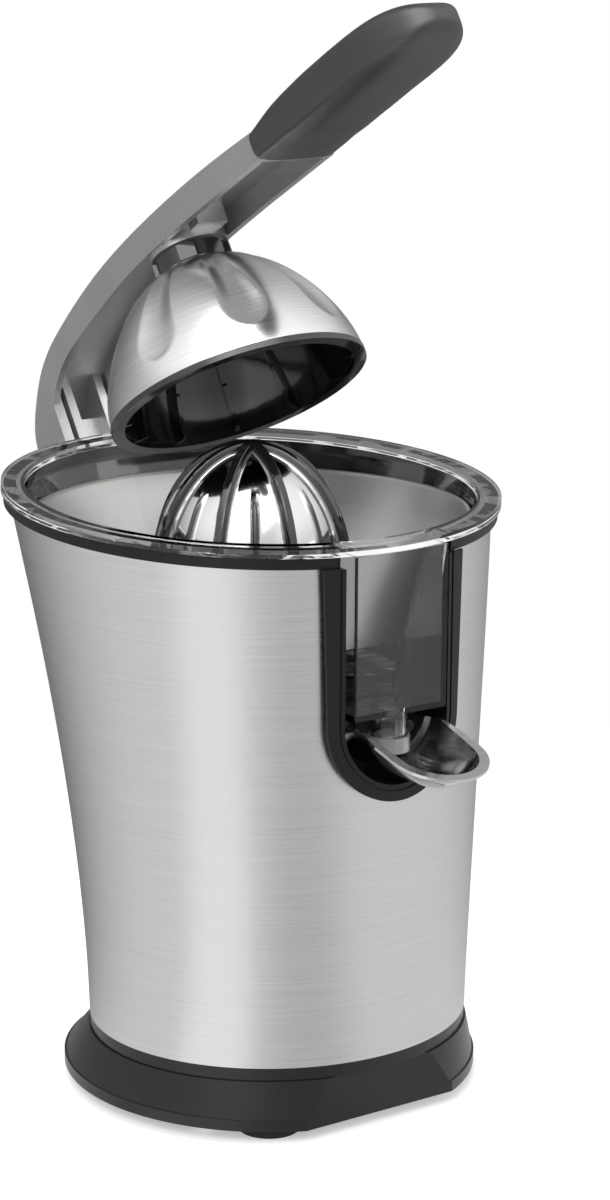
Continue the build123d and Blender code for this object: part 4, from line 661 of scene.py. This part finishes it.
climb_rows = dome_tall * np.sin(math.pi / 2 * np.linspace(0, 1, 90))
dome_outside = dome_surface(*np.meshgrid(climb_rows, turn_row, indexing="ij"))
dome_top = dome_rim + dome_tall
inner_climb = np.linspace(dome_tall - dome_sheet, 0, 14)
inner_share = inner_climb / (dome_axis - dome_sheet)
inner_radius = (dome_radius - dome_sheet) * np.sqrt(1 - inner_share ** dome_fullness)
inner_rows = [level_ring(radius, dome_rim + climb) for radius, climb in zip(inner_radius, inner_climb)]
dome_rows = np.concatenate((
    dome_outside, level_ring(dome_flat, dome_top), level_ring(bolt_hole, dome_top),
    level_ring(bolt_hole, dome_top - dome_sheet), *inner_rows,
))
dome_piece = round_mesh("pressed_dome", raised(dome_rows), wrap_rows=True)
dome_steel = finish_from(
    steel_group, "dome_steel",
    {"Colour": (0.70, 0.70, 0.69, 1), "Roughness": 0.22, "Turn": (-lever_rise, 0, 0), "Depth": 0.1},
    Metallic=1.0,
)
dome_piece.data.materials.append(dome_steel)
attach(dome_piece, "lever_body")
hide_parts("dome_shell")
gloss_black = finish_from(
    skin_group, "gloss_black",
    {"Colour": (0.012, 0.012, 0.013, 1), "Roughness": 0.12, "Grain": 700.0, "Depth": 0.01},
    Coat_Weight=0.5, Coat_Roughness=0.05,
)
dress(gloss_black, "dome_liner", "dome_collar", "dome_ring")
dress(plain_steel, "dome_bolt")

# ------------------------------------------------------------------ grip
# Soft black moulding over the arm's tang, flat-topped, with firm edges and a blunt round end.
# It too is drawn level and then raised.
grip_from, grip_taper, grip_end, grip_half = 0.084, 0.150, 0.1865, 0.019
# Distance before the reamer's axis, with the height of the grip's middle and its thickness.
grip_middle_at = (0.084, 0.100, 0.120, 0.140, 0.156, 0.168, 0.1865)
grip_middle = (0.2732, 0.2739, 0.2732, 0.2720, 0.2707, 0.2697, 0.2680)
grip_thick_at = (0.084, 0.094, 0.108, 0.125, 0.150, 0.1865)
grip_thick = (0.0136, 0.0163, 0.0188, 0.0198, 0.0198, 0.0184)


def grip_surface(along, turn):
    """Rounded rectangle swept along the lever: half width and half thickness times the signed
    square root of the turn's cosine and sine.  Past the taper both shrink to nothing as a
    superellipse of the way to the end."""
    middle = np.interp(along, grip_middle_at, grip_middle)
    thick = np.interp(along, grip_thick_at, grip_thick)
    way = np.clip((along - grip_taper) / (grip_end - grip_taper), 0, 1)
    half_width = grip_half * (1 - way ** 2.6) ** (1 / 2.2)
    half_thick = thick / 2 * (1 - way ** 3.8) ** (1 / 2.3)
    x = half_width * np.sign(np.cos(turn)) * np.abs(np.cos(turn)) ** 0.5
    z = half_thick * np.sign(np.sin(turn)) * np.abs(np.sin(turn)) ** 0.5
    return np.stack((x, -along, middle + z), axis=-1)


grip_rows = grip_from + (grip_end - grip_from) * np.sin(math.pi / 2 * np.linspace(0, 1, 70)[:-1])
grip_turn = np.linspace(0, 2 * math.pi, 96, endpoint=False)
grip_piece = round_mesh(
    "soft_grip", raised(grip_surface(*np.meshgrid(grip_rows, grip_turn, indexing="ij"))),
    low_tip=raised(np.array((0, -grip_from, grip_middle[0]))),
    high_tip=raised(np.array((0, -grip_end, grip_middle[-1]))),
)
grip_rubber = finish_from(
    skin_group, "grip_rubber",
    {"Colour": (0.022, 0.022, 0.023, 1), "Roughness": 0.38, "Grain": 1800.0, "Depth": 0.2},
    Specular_IOR_Level=0.85,
)
grip_piece.data.materials.append(grip_rubber)
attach(grip_piece, "lever_body")
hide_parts("lever_grip")

# ------------------------------------------------------------------ spout
# Spoon pressed from polished steel, hung in the surround on two pins, with a glossy black
# insert that carries them.
spout_steel = finish_from(
    steel_group, "spout_steel", {"Colour": (0.66, 0.655, 0.65, 1), "Roughness": 0.15, "Depth": 0.05},
    Metallic=1.0,
)
dress(spout_steel, "spout")
dress(gloss_black, "spout_carrier")
dress(plain_steel, "spout_pins")
